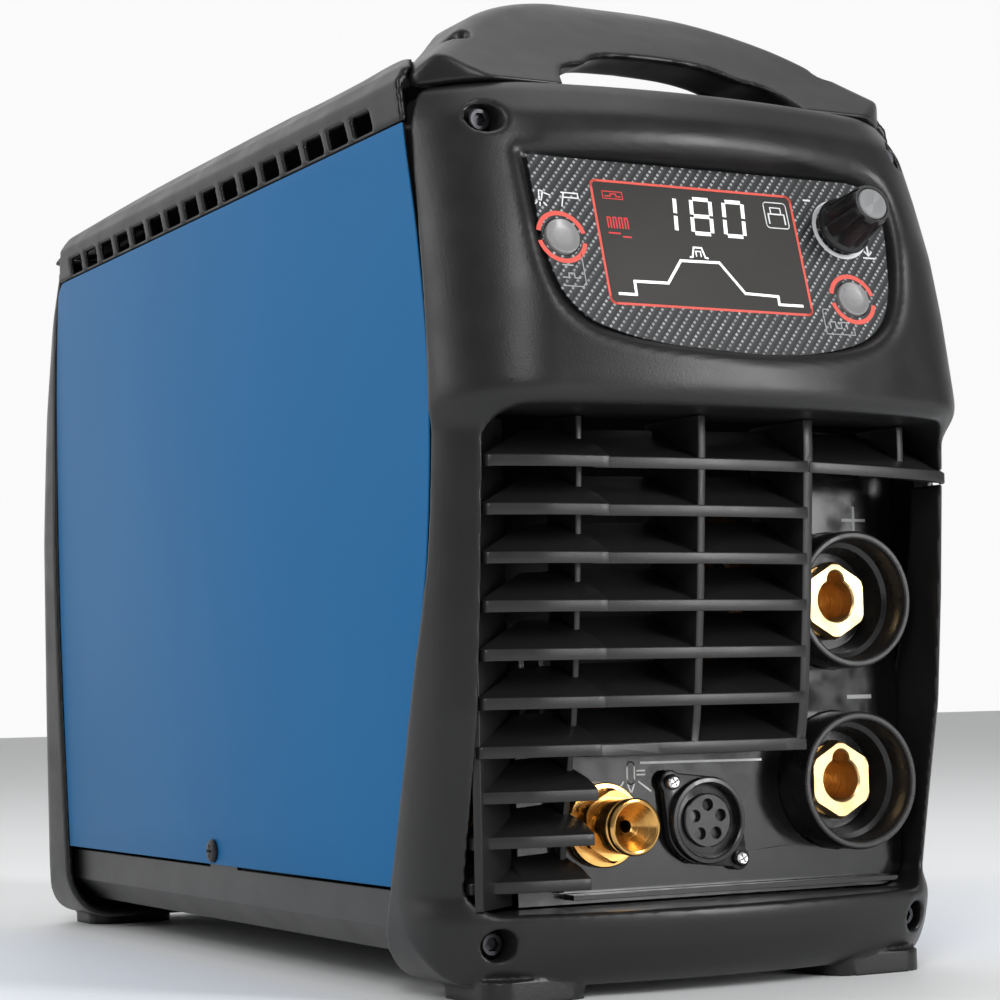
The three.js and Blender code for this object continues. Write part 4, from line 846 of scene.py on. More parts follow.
def cover_field(x, y, z):
    ridge = spline(COVER_RIDGE, 80)
    crown = (z - np.interp(y, ridge[:, 0], ridge[:, 1])) * 0.97
    outer, inner = (
        smooth_max(outline_distance(x[:, :, 0], z[0], cover_section(inset))[:, None, :], crown + inset, 1.5)
        for inset in (0, COVER_SHEET))
    body = remove(outer, inner)
    sloped = y - (z - LOUVRE["z0"]) * LOUVRE["lean"] / (LOUVRE["z1"] - LOUVRE["z0"]) - LOUVRE["first"]
    index = np.clip(np.floor(sloped / LOUVRE["pitch"]), 0, LOUVRE["count"] - 1)
    slot = between(sloped - index * LOUVRE["pitch"], 0, LOUVRE["width"])
    slot = np.maximum(slot, between(z, LOUVRE["z0"], LOUVRE["z1"]))
    body = remove(body, np.maximum(slot, LOUVRE["inner_x"] - np.abs(x)), 0.8)
    body = remove(body, handle_block(x, y, z) - 0.6)
    ends = np.maximum(seam_at(front_seam, z) + GAP - y, y - seam_at(rear_seam, z) + GAP)
    return np.maximum(np.maximum(body, ends), low("top_cover")[2] - z)


# ---- The four sculpted mouldings: piece, node it stands for, field, slot, look, share of faces kept ----
MOULDINGS = [
    ("front_bezel_shell", "front_bezel", front_bezel_field, "bezel_plastic", "bezel", 0.3),
    ("rear_bezel_shell", "rear_bezel", rear_bezel_field, "black_plastic", "black", 0.3),
    ("handle_grip", "carry_handle", handle_field, "bezel_plastic", "bezel", 0.4),
    ("top_cover_shell", "top_cover", cover_field, "black_plastic", "black", 0.4),
]


def build_mouldings():
    for name, node, field, slot, look, keep in MOULDINGS:
        add_piece(name, sculpted(name, low(node), high(node), field, keep), "case", look, [node])


# ---- Painted side panels ----
def build_side_panels():
    z0, z1 = low("left_side_panel")[2], high("left_side_panel")[2]
    heights = np.linspace(z0, z1, 48)
    front = [(seam_at(front_seam, z) + GAP / 2, z) for z in heights]
    rear = [(seam_at(rear_seam, z) - GAP / 2, z) for z in heights if z < z1 - 8]
    top_y = float(rear[-1][0])
    corner = arc(top_y - 8, z1 - 8, 8, 0, 90, 8)
    outline = [*front, *corner[::-1], *rear[::-1]]
    for side, sign in (("left", -1), ("right", 1)):
        name = f"{side}_side_panel"
        edge = high(name)[0] if sign > 0 else low(name)[0]
        place = face_frame((0, 1, 0), (0, 0, 1), (sign, 0, 0), (edge, 0, 0))
        mesh = prism(name + "_sheet", outline, -1.5, 0, place, 0.35)
        add_piece(name + "_sheet", mesh, "case", "blue", [name])


# ---- Front grille ----
SLOPE = math.tan(math.radians(28))
SLAT = {"front": 3.4, "depth": 22.0, "set_back": 11.5, "proud": 2.5}
ROWS = {"top": 152.4, "pitch": 13.65, "slats": 7, "fins": 3, "fin_pitch": 12.8}
BARS = [-45.0, -10.4, 27.8, 67.5]
BAR_SHOULDER = 158.0                    # above this height the bars' fronts are plumb
FIN_END = -41.3
TOP_SLAT = {"start": 28.0, "fall": 0.03}
SLAT_POINTS = 13                        # along a slat's front edge
NOSE_POINTS = 25                        # along a fin's
PLATE_THICKNESS = 3.0
PLATE_FACE = high("connector_plate")[1] - PLATE_THICKNESS


def row_heights():
    slats = [ROWS["top"] - i * ROWS["pitch"] for i in range(ROWS["slats"])]
    return slats + [slats[-1] - i * ROWS["fin_pitch"] for i in range(1, ROWS["fins"] + 1)]


def slat_front(z, x):
    return float(FRONT_FACE + front_profile(z) + SLAT["set_back"] + x * x / (2 * FRONT["bow"]))


def louvre(plan, z, edge_count, fall=0.0):
    """A louvre drawn in plan: the first points are its level front edge, and it rises behind them."""
    half = SLAT["front"] / 2
    count = len(plan)
    edge = np.array(plan[:edge_count])
    points = []
    for side in (-1, 1):
        for x, y in plan:
            behind = max(0, y - np.interp(x, edge[:, 0], edge[:, 1]))
            points.append((x, y, z + side * half + behind * SLOPE - max(0, x - TOP_SLAT["start"]) * fall))
    faces = [tuple(range(count)), tuple(range(count, 2 * count))]
    faces += [(i, (i + 1) % count, count + (i + 1) % count, count + i) for i in range(count)]
    return bevelled(mesh_of("louvre", points, faces), 0.35)


def slat_plan(z, x0, x1):
    front = [(x, slat_front(z, x)) for x in np.linspace(x0, x1, SLAT_POINTS)]
    back = slat_front(z, 0) + SLAT["depth"]
    return [*front, (x1, back), (x0, back)]


def fin_plan(z):
    y = slat_front(z, -40) - SLAT["proud"]
    nose = spline([(-78.2, y + 9), (-77.6, y + 6.4), (-74.5, y + 5.2), (-66, y + 2.9), (-58, y + 1.4),
                   (FIN_END, y)], NOSE_POINTS - 1)
    return [*nose, (FIN_END, y + 6), (FIN_END - 4, y + 16), (FIN_END - 4, y + 18), (-60, y + 18)]


def top_slat_plan(z):
    start = TOP_SLAT["start"]
    y = slat_front(z, start)
    nose = spline([(start, y), (50, y - 0.4), (70, y + 1), (80, y + 3.6), (83.2, y + 6.5), (83.4, y + 10)],
                  NOSE_POINTS - 1)
    return [*nose, (80, y + 12), (78, y + 24), (start, y + 24)]


def upright(x, width, z0, z1, recess):
    """A bar of the grille, whose front edge follows the bezel's profile."""
    front = [(slat_front(min(z, BAR_SHOULDER), 0) + recess, z) for z in np.linspace(z0, z1, 12)]
    outline = [*front, (PLATE_FACE - GAP, z1), (PLATE_FACE - GAP, z0)]
    place = face_frame((0, 1, 0), (0, 0, 1), (1, 0, 0), (x, 0, 0))
    return prism("bar", outline, -width / 2, width / 2, place, 0.3)


def build_grille():
    rows = row_heights()
    bottom, foot = rows[ROWS["slats"] - 1], rows[-1]
    roof = MOUTH["z1"] - GAP
    pieces = [louvre(slat_plan(z, BARS[0], BARS[2]), z, SLAT_POINTS) for z in rows[:ROWS["slats"]]]
    pieces += [louvre(fin_plan(z), z, NOSE_POINTS) for z in rows]
    pieces.append(louvre(top_slat_plan(rows[0]), rows[0], NOSE_POINTS, TOP_SLAT["fall"]))
    pieces.append(upright(BARS[0], 2, foot - 3, roof, 12))
    pieces.append(upright(BARS[1], 2.6, bottom, roof, 0.6))
    pieces.append(upright(BARS[2], 3.4, bottom - 1, roof, 1.8))
    pieces.append(upright(BARS[3], 2.4, rows[0], roof, 9.5))
    cheek = [(-79.1, -166), (-77, -167), (-61, PLATE_FACE - 2), (-61, PLATE_FACE - GAP),
             (-64, PLATE_FACE - GAP)]
    upward = Matrix.Identity(4)
    pieces.append(prism("cheek", cheek, MOUTH["z0"] + GAP + 1, roof, upward, 0.2))
    frame_edge = [(slat_front(bottom, 0) + 1, bottom - 1.9), (PLATE_FACE - GAP, bottom - 1.9),
                  (PLATE_FACE - GAP, bottom + 1.5), (slat_front(bottom, 0) + 1, bottom + 1.5)]
    along = face_frame((0, 1, 0), (0, 0, 1), (1, 0, 0), (0, 0, 0))
    pieces.append(prism("foot_bar", frame_edge, BARS[0], BARS[2] + 1.7, along, 0.3))
    mesh = combined("UNION", pieces)
    add_piece("louvre_grille", mesh, "case", "bezel", ["front_grille"])


# ---- Sockets, gas outlet and control connector ----
BORE = 6.5


def keyed(a):
    """Radius of the current socket's bore, with its keyway at the top."""
    key_r, key_v = 3.1, BORE - 0.4
    across = key_v * math.cos(a)
    reach = key_r**2 - across**2
    key = key_v * math.sin(a) + math.sqrt(reach) if reach > 0 and math.sin(a) > 0 else 0
    return max(BORE, key)


def build_sockets():
    for sign in ("plus", "minus"):
        x, _, z = middle(f"{sign}_socket_shroud")
        lip = -low(f"{sign}_socket_shroud")[1]
        back = -high(f"{sign}_socket_shroud")[1]
        place = on_front(x, z)
        rings = [(11.4, back), (15.5, back), (15.5, -PLATE_BACK - 3.4), (24.2, -PLATE_BACK - 3.4),
                 (24.2, -PLATE_BACK - 0.4), (21, -PLATE_BACK - 0.4), (21, lip - 1), (20.7, lip - 0.3),
                 (20.2, lip), (19.2, lip), (18.7, lip - 0.3), (18.4, lip - 1), (18.1, lip - 2),
                 (17.9, lip - 8.5), (16.4, lip - 9.3), (16, lip - 12), (14.9, lip - 16.3),
                 (11.4, lip - 16.3), (11.4, back)]
        add_turned(f"{sign}_shroud_funnel", rings, place, "satin",
                   [f"{sign}_socket_shroud"], 96)
        face = -low(f"{sign}_socket_insert")[1]
        rear = -high(f"{sign}_socket_insert")[1]
        flats = hexagonal(21, math.pi / 6)
        edge = capped(flats, 11.4, 0.25)
        rings = [(0.01, rear), (10.6, rear), (11, rear + 0.4), (11, face - 5.6), (flats, face - 5.6),
                 (flats, face - 0.7), (edge, face), (lambda a: keyed(a) + 0.5, face), (keyed, face - 0.5),
                 (keyed, rear + 5), (0.01, rear + 5)]
        add_turned(f"{sign}_brass_insert", rings, place, "pale_brass",
                   [f"{sign}_socket_insert"], 144, 25)


def build_gas_outlet():
    x, _, z = middle("gas_outlet")
    tip, rear = -low("gas_outlet")[1], -high("gas_outlet")[1]
    plate = -PLATE_FACE
    place = on_front(x, z)
    barrel = [(1.9, rear), (6.5, rear), (6.5, plate + 0.3), (12.2, plate + 0.3), (12.5, plate + 0.7),
              (12.5, plate + 2.6), (12.1, plate + 3.1), (8.6, plate + 3.3), (8.1, plate + 8),
              (8.1, tip - 3.6), (7.7, tip - 3.4), (7.7, tip - 2.9), (8.1, tip - 2.6), (8.3, tip - 2.2),
              (8.3, tip - 0.7), (7.9, tip - 0.15), (7.4, tip), (6.9, tip - 0.2), (4.6, tip - 3.2),
              (2.6, tip - 5.6), (1.9, tip - 6.2), (1.9, rear)]
    mesh = turned("gas_barrel", barrel, place, 96, 20)
    flats = hexagonal(19, math.pi / 6)
    chamfer = capped(flats, 10.2)
    nut = [(7.9, plate + 3.0), (chamfer, plate + 3.0), (flats, plate + 3.9), (flats, plate + 7.6),
           (chamfer, plate + 8.5), (7.9, plate + 8.5), (7.9, plate + 3.0)]
    ring = turned("gas_nut", nut, place, 144, 20)
    whole = joined("gas_outlet_brass", [mesh, ring])
    add_piece("gas_outlet_brass", whole, "case", "brass", ["gas_outlet"])


CONTROL_REACH = 11.8


def build_control_connector():
    x, _, z = middle("control_socket_insert")
    plate = -PLATE_FACE
    place = on_front(x, z)
    reach, lobe = CONTROL_REACH, 3.6
    outline = [*arc(-reach, reach, lobe, 45, 225, 12), *arc(0, 0, 13.6, 200, 250, 8),
               *arc(reach, -reach, lobe, 225, 405, 12), *arc(0, 0, 13.6, 20, 70, 8)]
    flange = prism("flange", outline, plate + 0.3, plate + 2.9, place, 0.5)
    collar = turned("collar", [(8.6, plate + 0.4), (12.9, plate + 0.4), (12.9, plate + 5),
                               (12.6, plate + 5.4), (11.5, plate + 5.5), (11.1, plate + 5.2),
                               (11, plate + 1), (8.6, plate + 1), (8.6, plate + 0.4)], place, 96)
    tail = turned("tail", [(7.9, plate - 16), (12, plate - 16), (12, plate + 0.6), (7.9, plate + 0.6),
                           (7.9, plate - 16)], place, 64)
    mesh = joined("control_flange", [flange, collar, tail])
    add_piece("control_flange", mesh, "case", "satin", ["control_socket_shell"])

    def core_radius(a):
        """Round, but for a keyway at the bottom."""
        return 7.4 if abs(a - 1.5 * math.pi) < 0.14 else 8.1

    face = plate + 4.4
    core = turned("core", [(0.01, plate - 15), (7.4, plate - 15), (7.4, plate - 8), (core_radius, plate - 8),
                           (core_radius, face - 0.3), (7.7, face), (0.01, face)], place, 96)
    holes, pins = [], []
    for a in np.radians(np.arange(5) * 72 + 90):
        centre = place @ Matrix.Translation((4.7 * math.cos(a), 4.7 * math.sin(a), 0))
        bore = [(0.01, face - 5), (1.9, face - 5), (1.9, face + 2), (0.01, face + 2)]
        holes.append(turned("hole", bore, centre, 40))
        pins.append(turned("pin", [(0.01, face - 6), (0.95, face - 6), (0.95, face - 2.4), (0.6, face - 2),
                                   (0.01, face - 1.9)], centre, 24))
    mesh = combined("DIFFERENCE", [core, *holes])
    add_piece("control_core", mesh, "case", "satin", ["control_socket_insert"])
    add_piece("control_pins", joined("control_pins", pins), "case", "brass")


def cross_screw(name, place, head, height, stands_for, look):
    """A pan head with a cross recess, cut as four flats in the top rings."""
    def recess(a):
        from_arm = a % (math.pi / 2)
        return head * (0.55 if min(from_arm, math.pi / 2 - from_arm) < 0.3 else 0.16)

    rings = [(0.01, -5), (head * 0.5, -5), (head * 0.5, 0), (head, 0), (head, height * 0.45),
             (head * 0.86, height * 0.8), (head * 0.62, height), (recess, height * 0.98),
             (lambda a: recess(a) * 0.8, height * 0.35), (0.01, height * 0.3)]
    add_turned(name, rings, place, look, stands_for, 96, 25)


def socket_screw(name, place, head, height, stands_for):
    """A cap head with a hexagon socket."""
    socket = hexagonal(head)
    rings = [(0.01, -5), (head * 0.55, -5), (head * 0.55, 0), (head, 0), (head, height - 0.4),
             (head - 0.4, height), (lambda a: socket(a) + 0.2, height), (socket, height - 0.25),
             (socket, height * 0.3), (0.01, height * 0.25)]
    add_turned(name, rings, place, "dark_steel", stands_for, 72, 25)


def build_screws():
    for i in (1, 2):
        node = f"control_socket_screw_{i}"
        x, _, z = middle(node)
        place = on_front(x, z, low(node)[1] + 1.9) @ Matrix.Rotation(0.5, 4, "Z")
        cross_screw(f"connector_screw_{i}", place, 2.35, 1.8, [node], "steel")
    for node in FRONT_SCREWS:
        x, _, z = middle(node)
        place = on_front(x, z, low(node)[1] + 2.2)
        socket_screw(node.replace("screw", "cap_screw"), place, 3.4, 2.2, [node])
    for node in REAR_SCREWS:
        x, _, z = middle(node)
        place = on_rear(x, z, high(node)[1] - 2.2)
        socket_screw(node.replace("screw", "cap_screw"), place, 3.0, 2.2, [node])
    for side, sign in (("left", -1), ("right", 1)):
        node = f"{side}_panel_screw"
        _, y, z = middle(node)
        edge = low(node)[0] if sign < 0 else high(node)[0]
        place = face_frame((0, sign, 0), (0, 0, 1), (sign, 0, 0), (edge - sign * 1.7, y, z))
        cross_screw(f"{side}_panel_pan_screw", place, 3.9, 1.6, [node], "dark_steel")
        node = f"{side}_handle_screw"
        x, y, _ = middle(node)
        place = face_frame((1, 0, 0), (0, 1, 0), (0, 0, 1), (x, y, low(node)[2] + 0.1))
        rings = [(0.01, 0), (2.9, 0), (2.9, 1.4), (2.6, 1.9), (1.5, 1.9), (1.4, 0.8), (0.01, 0.8)]
        mesh = turned("bolt", rings, place, 48)
        add_piece(f"{side}_handle_bolt", mesh, "case", "dark_steel", [node])


# ---- Control panel ----
def build_panel():
    outline = [tuple(p) for p in panel_outline(-0.5)]
    label = prism("panel_film", outline, -0.5, 0.1, on_panel(), 0)
    cutters = [turned("hole", [(0.01, -3), (r, -3), (r, 3), (0.01, 3)], on_panel(u, v), 48)
               for (u, v), r in ((ENCODER, 3.9), *((place, KEY_RADIUS + 0.35) for place in KEYS.values()))]
    u0, v0, u1, v1 = DISPLAY
    opening = rounded(u0 - 0.15, v0 - 0.15, u1 + 0.15, v1 + 0.15, 1.5)
    cutters.append(prism("hole", opening, -3, 3, on_panel(), 0))
    label = combined("DIFFERENCE", [label, *cutters])
    add_piece("panel_film", label, "case", "label", ["control_label"])
    window = prism("display_glass", rounded(u0, v0, u1, v1, 1.4), -4, 0.1, on_panel(), 0.15)
    add_piece("display_glass", window, "case", "display", ["display_window"])
    for name, (u, v) in KEYS.items():
        rings = [(0.01, -7.6), (2, -7.6), (2, -4), (KEY_RADIUS, -4), (KEY_RADIUS, 0.5)]
        rings += [(5.35, 0.9), (5.1, 1.1), (4.9, 1.1), (4.7, 0.95), (2.5, 0.8), (0.01, 0.75)]
        body = name.replace("button", "key")
        add_turned(name + "_dome", rings, on_panel(u, v), "key", [name], 64, 50, body)
    build_knob()


def build_knob():
    def fluted(radius, depth):
        def at(a):
            wave = (1 + math.cos(8 * a)) / 2
            return radius - depth * wave**6
        return at
    rings = [(2.2, 2.2), (8.8, 2.2), (9, 2.5), (9, 3.2), (8.7, 3.6), (7.95, 4.3), (fluted(7.9, 0.7), 5.4)]
    rings += [(fluted(7.85 - 1.3 * t, 0.9), 5.4 + 11.2 * t) for t in np.linspace(0.1, 1, 7)]
    rings += [(fluted(6.3, 0.4), 17.5), (6.0, 18), (5.3, 18), (5.1, 17.8), (5.1, 16.4), (2.2, 16.4),
              (2.2, 2.2)]
    add_turned("knob_grip", rings, on_panel(*ENCODER), "satin", ["encoder_knob"],
               128, 40, "encoder_dial")
    cap = [(0.01, 16.7), (4.7, 16.7), (4.9, 16.9), (4.9, 17.9), (4.6, 18.25), (2.5, 18.38), (0.01, 18.4)]
    add_turned("knob_cap", cap, on_panel(*ENCODER), "cap", ["encoder_cap"],
               64, 40, "encoder_dial")


# ---- Printing on the panel, the display and the connector plate ----
INK = 0.06                              # height of a printed line


def stroke(points, width, place, w=0.1, height=INK):
    """A printed line along the points, as a thin raised ribbon for each stretch."""
    meshes = []
    for (u0, v0), (u1, v1) in zip(points, points[1:]):
        length = math.hypot(u1 - u0, v1 - v0)
        du, dv = (u1 - u0) / length, (v1 - v0) / length
        nu, nv = -dv * width / 2, du * width / 2
        eu, ev = du * width * 0.35, dv * width * 0.35
        corners = [(u0 - eu + nu, v0 - ev + nv), (u0 - eu - nu, v0 - ev - nv),
                   (u1 + eu - nu, v1 + ev - nv), (u1 + eu + nu, v1 + ev + nv)]
        meshes.append(prism("ribbon", corners, w, w + height, place, 0))
    return meshes


def band(centre, inner, outer, start, end, place, w=0.1):
    """A printed arc."""
    outline = arc(*centre, outer, start, end, 40) + arc(*centre, inner, end, start, 40)
    return prism("band", outline, w, w + INK, place, 0)


SEGMENTS = {"a": ((0, 2), (1, 2)), "b": ((1, 2), (1, 1)), "c": ((1, 1), (1, 0)), "d": ((0, 0), (1, 0)),
            "e": ((0, 0), (0, 1)), "f": ((0, 1), (0, 2)), "g": ((0, 1), (1, 1))}
DIGITS = {"1": "bc", "8": "abcdefg", "0": "abcdef"}
DIGIT = {"width": 6.6, "height": 11.2, "slant": 0.11, "base": 4.9, "line": 1.25, "short": 0.16}


def digit(symbol, u, place):
    """One slanted seven-segment digit whose lower left corner is at u."""
    meshes = []
    for name in DIGITS[symbol]:
        ends = []
        for corner_u, corner_v in SEGMENTS[name]:
            v = corner_v * DIGIT["height"] / 2
            ends.append((u + corner_u * DIGIT["width"] + v * DIGIT["slant"], DIGIT["base"] + v))
        (u0, v0), (u1, v1) = ends
        cut = DIGIT["short"]
        ends = [(u0 + (u1 - u0) * cut, v0 + (v1 - v0) * cut), (u1 - (u1 - u0) * cut, v1 - (v1 - v0) * cut)]
        meshes += stroke(ends, DIGIT["line"], place)
    return meshes


def strokes(lines, place):
    """Printed lines, each given as (width, points)."""
    return [mesh for width, points in lines for mesh in stroke(points, width, place)]


def print_piece(name, meshes, ink):
    add_piece(name, joined(name, meshes), "case", ink)


# The welding cycle with its pulse, and small line icons.
CYCLE_LINES = [
    (0.85, [(-41.4, -16.2), (-35.8, -16.2), (-35.6, -12), (-24.3, -11.9), (-18.6, -4.4), (-5.3, -4.2),
            (1.8, -13.6), (13.2, -13.9), (13.1, -16.5), (21.3, -16.5)]),
    (0.55, [(-15, -3), (-14.2, -2.9), (-13.3, 0.2), (-10.6, 0.2), (-9.8, -2.9), (-9, -3)]),
    (0.35, [(-12.8, -2.6), (-12.8, -1), (-11.2, -1), (-11.2, -2.6)]),
]
WHITE_ICON = [
    (0.3, closed(rounded(14.4, 8.7, 22.4, 17.1, 1.1))),
    (0.45, [(15.6, 10.2), (15.6, 13.3), (21.2, 13.3), (21.2, 10.2)]),
    (0.35, [(16.6, 13.3), (16.6, 15.4), (20.2, 15.4), (20.2, 13.3)]),
]
RED_ICONS = [
    (0.3, [(-41.2, 13.9), (-41.2, 16.2), (-34.6, 16.2), (-34.6, 13.9), (-41.2, 13.9)]),
    (0.4, [(-40.4, 14.7), (-38.6, 14.7), (-38.6, 15.5), (-36.8, 15.5), (-36.8, 14.7), (-35.4, 14.7)]),
    *((0.42, [(u, 4.6), (u, 7.9), (u + 0.95, 7.9), (u + 0.95, 4.6)]) for u in (-41, -39.1, -37.2, -35.3)),
    (0.5, [(-41.2, 2.9), (-37.5, 2.9)]),
    (0.5, [(-36.6, 1.9), (-34, 1.9)]),
]


def build_display_marks():
    place = on_panel()
    digits = digit("1", -24.6, place) + digit("8", -12.3, place) + digit("0", -1.0, place)
    print_piece("display_segments", digits + strokes(CYCLE_LINES, place), "white_glow")
    print_piece("display_icons", strokes(WHITE_ICON, place), "white_ink")
    print_piece("display_red_icons", strokes(RED_ICONS, place), "red_glow")


# A dash by the knob, a torch over a spark, an electrode in its holder, and an arrow on a bar.
PANEL_WHITE = [
    (0.6, [(29.6, 18.9), (31.8, 18.9)]),
    (0.4, [(-62.2, 14.8), (-61, 14.4), (-61.9, 11.6), (-62.6, 11.8), (-62.2, 14.8)]),
    (0.4, [(-62.4, 10.9), (-62.6, 9.8)]),
    (0.4, [(-61.2, 10.9), (-60.4, 10)]),
    (0.4, [(-63.4, 11), (-63.9, 10.4)]),
    (0.4, [(-60.6, 14), (-58.8, 13.4)]),
    (0.4, [(-55.4, 10.2), (-54.3, 14.2)]),
    (0.4, [(-55, 14.6), (-49.6, 14.6), (-49.6, 13.1), (-54.4, 13.1)]),
    (0.6, [(49.6, 4.8), (49.6, 1.9)]),
    (0.5, [(48.3, 3.1), (49.6, 1.8), (50.9, 3.1)]),
    (0.5, [(47.6, 1), (51.8, 1)]),
]
# The frames under the two keys, each with a line icon.
PANEL_GREY = [
    (0.3, [(-51.8, -4.6), (-51.8, -13.6), (-53, -14.8), (-59.4, -14.8)]),
    (0.45, [(-58.5, -8.3), (-55.2, -8.3)]),
    (0.4, [(-59, -12.2), (-57, -12.2), (-57, -10.8), (-55.2, -10.8), (-55.2, -12.2), (-53.6, -12.2)]),
    (0.3, [(30.5, -17), (28.6, -17), (28.2, -17.6), (28.2, -25), (38.4, -25), (38.4, -22.4)]),
    (0.4, [(30, -23), (30, -21), (32, -21), (32, -23), (34, -23), (34, -21), (36, -21), (36, -23)]),
]


def build_panel_marks():
    place = on_panel()
    u0, v0, u1, v1 = DISPLAY
    red = stroke(closed(rounded(u0 - 0.1, v0 - 0.1, u1 + 0.1, v1 + 0.1, 1.8)), 0.75, place, 0.12)
    for centre in KEYS.values():
        for start, end in KEY_RING["arcs"]:
            red.append(band(centre, KEY_RING["inner"], KEY_RING["outer"], start, end, place))
    print_piece("panel_red_marks", red, "red_ink")
    ring = band(ENCODER, 8.3, 9.7, 100, 430, place)
    print_piece("panel_white_marks", [ring, *strokes(PANEL_WHITE, place)], "white_ink")
    print_piece("panel_grey_marks", strokes(PANEL_GREY, place), "grey_ink")


# Places on the connector plate, as (x, z).
PLUS_SIGN = (64.5, 139.1)
MINUS_SIGN = (64.6, 83.9)
TORCH_ICON = (-19.2, 62.2)
TORCH_LINE = [(-15.6, 65.8), (27.1, 65.5)]


def build_plate_marks():
    place = on_front(0, 0, PLATE_FACE)
    x, z = PLUS_SIGN
    grey = stroke([(x - 4.2, z), (x + 4.2, z)], 0.9, place, 0)
    grey += stroke([(x, z - 4), (x, z + 4)], 0.9, place, 0.01)
    x, z = MINUS_SIGN
    grey += stroke([(x - 4.2, z), (x + 4.2, z)], 1.2, place, 0)
    print_piece("polarity_signs", grey, "grey_ink")
    x, z = TORCH_ICON
    white = stroke(closed(rounded(x - 1.25, z - 2.6, x + 1.25, z + 4, 1.1)), 0.5, place, 0)
    tip = [(-1.1, -2.7), (0, -5.3), (1.1, -2.7)]
    rays = [[(2.2, 1.3), (4.8, 1.3)], [(2.2, 0.1), (4.8, 0.1)], [(-2.6, -1.9), (-4.8, -4.6)],
            [(2.6, -1.9), (6.8, -4.8)]]
    for line in (tip, *rays):
        white += stroke([(x + a, z + b) for a, b in line], 0.5, place, 0)
    white += stroke(TORCH_LINE, 0.7, place, 0)
    print_piece("torch_icon", white, "white_ink")


# ---- Rear fittings ----
GUARD = {"rings": (12, 20, 29, 38, 47, 55.8), "wire": 0.8, "screw_reach": 52.5 * math.sqrt(2)}


def build_fan_guard():
    x, _, z = middle("fan_guard")
    place = on_rear(x, z, high("fan_guard")[1] - 1.1)
    wire, reach = GUARD["wire"], GUARD["screw_reach"]
    meshes = []
    for radius in GUARD["rings"]:
        rings = [(radius + wire * math.cos(a), wire * math.sin(a)) for a in np.radians(np.arange(0, 360, 45))]
        meshes.append(turned("ring", closed(rings), place, 96, 60))
    eye = [(2.2, -2.2), (4.2, -2.2), (4.2, -0.9), (2.2, -0.9), (2.2, -2.2)]
    for turn in range(4):
        spin = place @ Matrix.Rotation(math.pi / 4 + turn * math.pi / 2, 4, "Z")
        spoke = [(10, -wire), (10, wire), (reach, wire), (reach, -wire)]
        meshes.append(prism("spoke", spoke, -2.1, -0.6, spin, 0.3))
        meshes.append(turned("eye", eye, spin @ Matrix.Translation((reach, 0, 0)), 40))
    add_piece("fan_guard_wire", joined("fan_guard_wire", meshes), "case", "steel", ["fan_guard"])


def build_gland():
    x, _, z = middle("cable_gland")
    face = high("rear_panel")[1]
    place = on_rear(x, z)
    rear = low("cable_gland")[1]

    def grip(a):
        """Sixteen shallow grooves round the cap."""
        return 10.7 - 0.35 * ((1 + math.cos(16 * a)) / 2) ** 3

    rings = [(5, rear), (9, rear), (9, face + 0.3), (12.2, face + 0.3), (12.4, face + 0.6),
             (12.4, face + 6.5), (11.2, face + 7.4), (grip, face + 7.6), (grip, face + 13.5),
             (9.6, face + 15.5), (8.2, face + 17.8), (7.4, face + 18.5), (5.4, face + 18.5), (5, face + 18.1),
             (5, rear)]
    body = turned("gland_body", rings, place, 128, 25)
    flats = hexagonal(24)
    nut = [(10, face + 0.4), (flats, face + 0.4), (flats, face + 5), (capped(flats, 12.9), face + 5.9),
           (10, face + 5.9), (10, face + 0.4)]
    whole = joined("cable_gland_nut", [body, turned("nut", nut, place, 144, 20)])
    add_piece("cable_gland_nut", whole, "case", "black", ["cable_gland"])


def build_gas_inlet():
    x, _, z = middle("gas_inlet")
    face = high("rear_panel")[1]
    place = on_rear(x, z)
    rear = low("gas_inlet")[1]
    rings = [(1.8, rear), (5, rear), (5, face + 0.3), (8.4, face + 0.3), (8.6, face + 0.6), (8.6, face + 1.8),
             (4.8, face + 2.2), (4.6, face + 8), (3.6, face + 8)]
    for barb in range(3):
        rings += [(4.4 - 0.1 * barb, face + 10.8 + 2.8 * barb), (3.5, face + 11 + 2.8 * barb)]
    rings += [(3.1, face + 17), (1.8, face + 17), (1.8, rear)]
    body = turned("inlet_body", rings, place, 72, 20)
    flats = hexagonal(14)
    nut = [(4.4, face + 1.6), (flats, face + 1.6), (flats, face + 4.6), (capped(flats, 7.5), face + 5.3),
           (4.4, face + 5.3), (4.4, face + 1.6)]
    whole = joined("gas_inlet_barb", [body, turned("nut", nut, place, 144, 20)])
    add_piece("gas_inlet_barb", whole, "case", "brass", ["gas_inlet"])


# ---- CAD nodes that stay as they are, with softened edges ----
KEPT = {
    "connector_plate": "gloss", "base_tray": "black_paint", "rear_panel": "black_paint",
    "switch_housing": "satin", "switch_rocker": "rocker", "fan_frame": "black", "fan_rotor": "black",
    "encoder_body": "steel", "encoder_shaft": "steel", "control_board": "board", "power_board": "board",
    "left_heat_sink": "aluminium", "right_heat_sink": "aluminium", "capacitor_bank": "sleeve",
    "transformer_core": "ferrite", "transformer_winding": "winding", "output_choke": "winding",
    "ignition_coil": "winding", "gas_valve": "satin", "inlet_hose": "hose", "outlet_hose": "hose",
}


def dress_kept_nodes():
    for name, look in KEPT.items():
        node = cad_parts[name]
        for slot in node.material_slots:
            slot.material = MATERIALS[look]
        weld = node.modifiers.new("weld", "WELD")
        weld.merge_threshold = 0.002 * MM
        soften(node, 0.25, 40)


# ---- Studio ----
# The place is in millimetres, the turns in degrees.
CAMERA = {"place": (-410.3, -803.81, 86.59), "yaw": 28.195, "pitch": 4.391, "roll": -1.2287, "lens": 91.69}
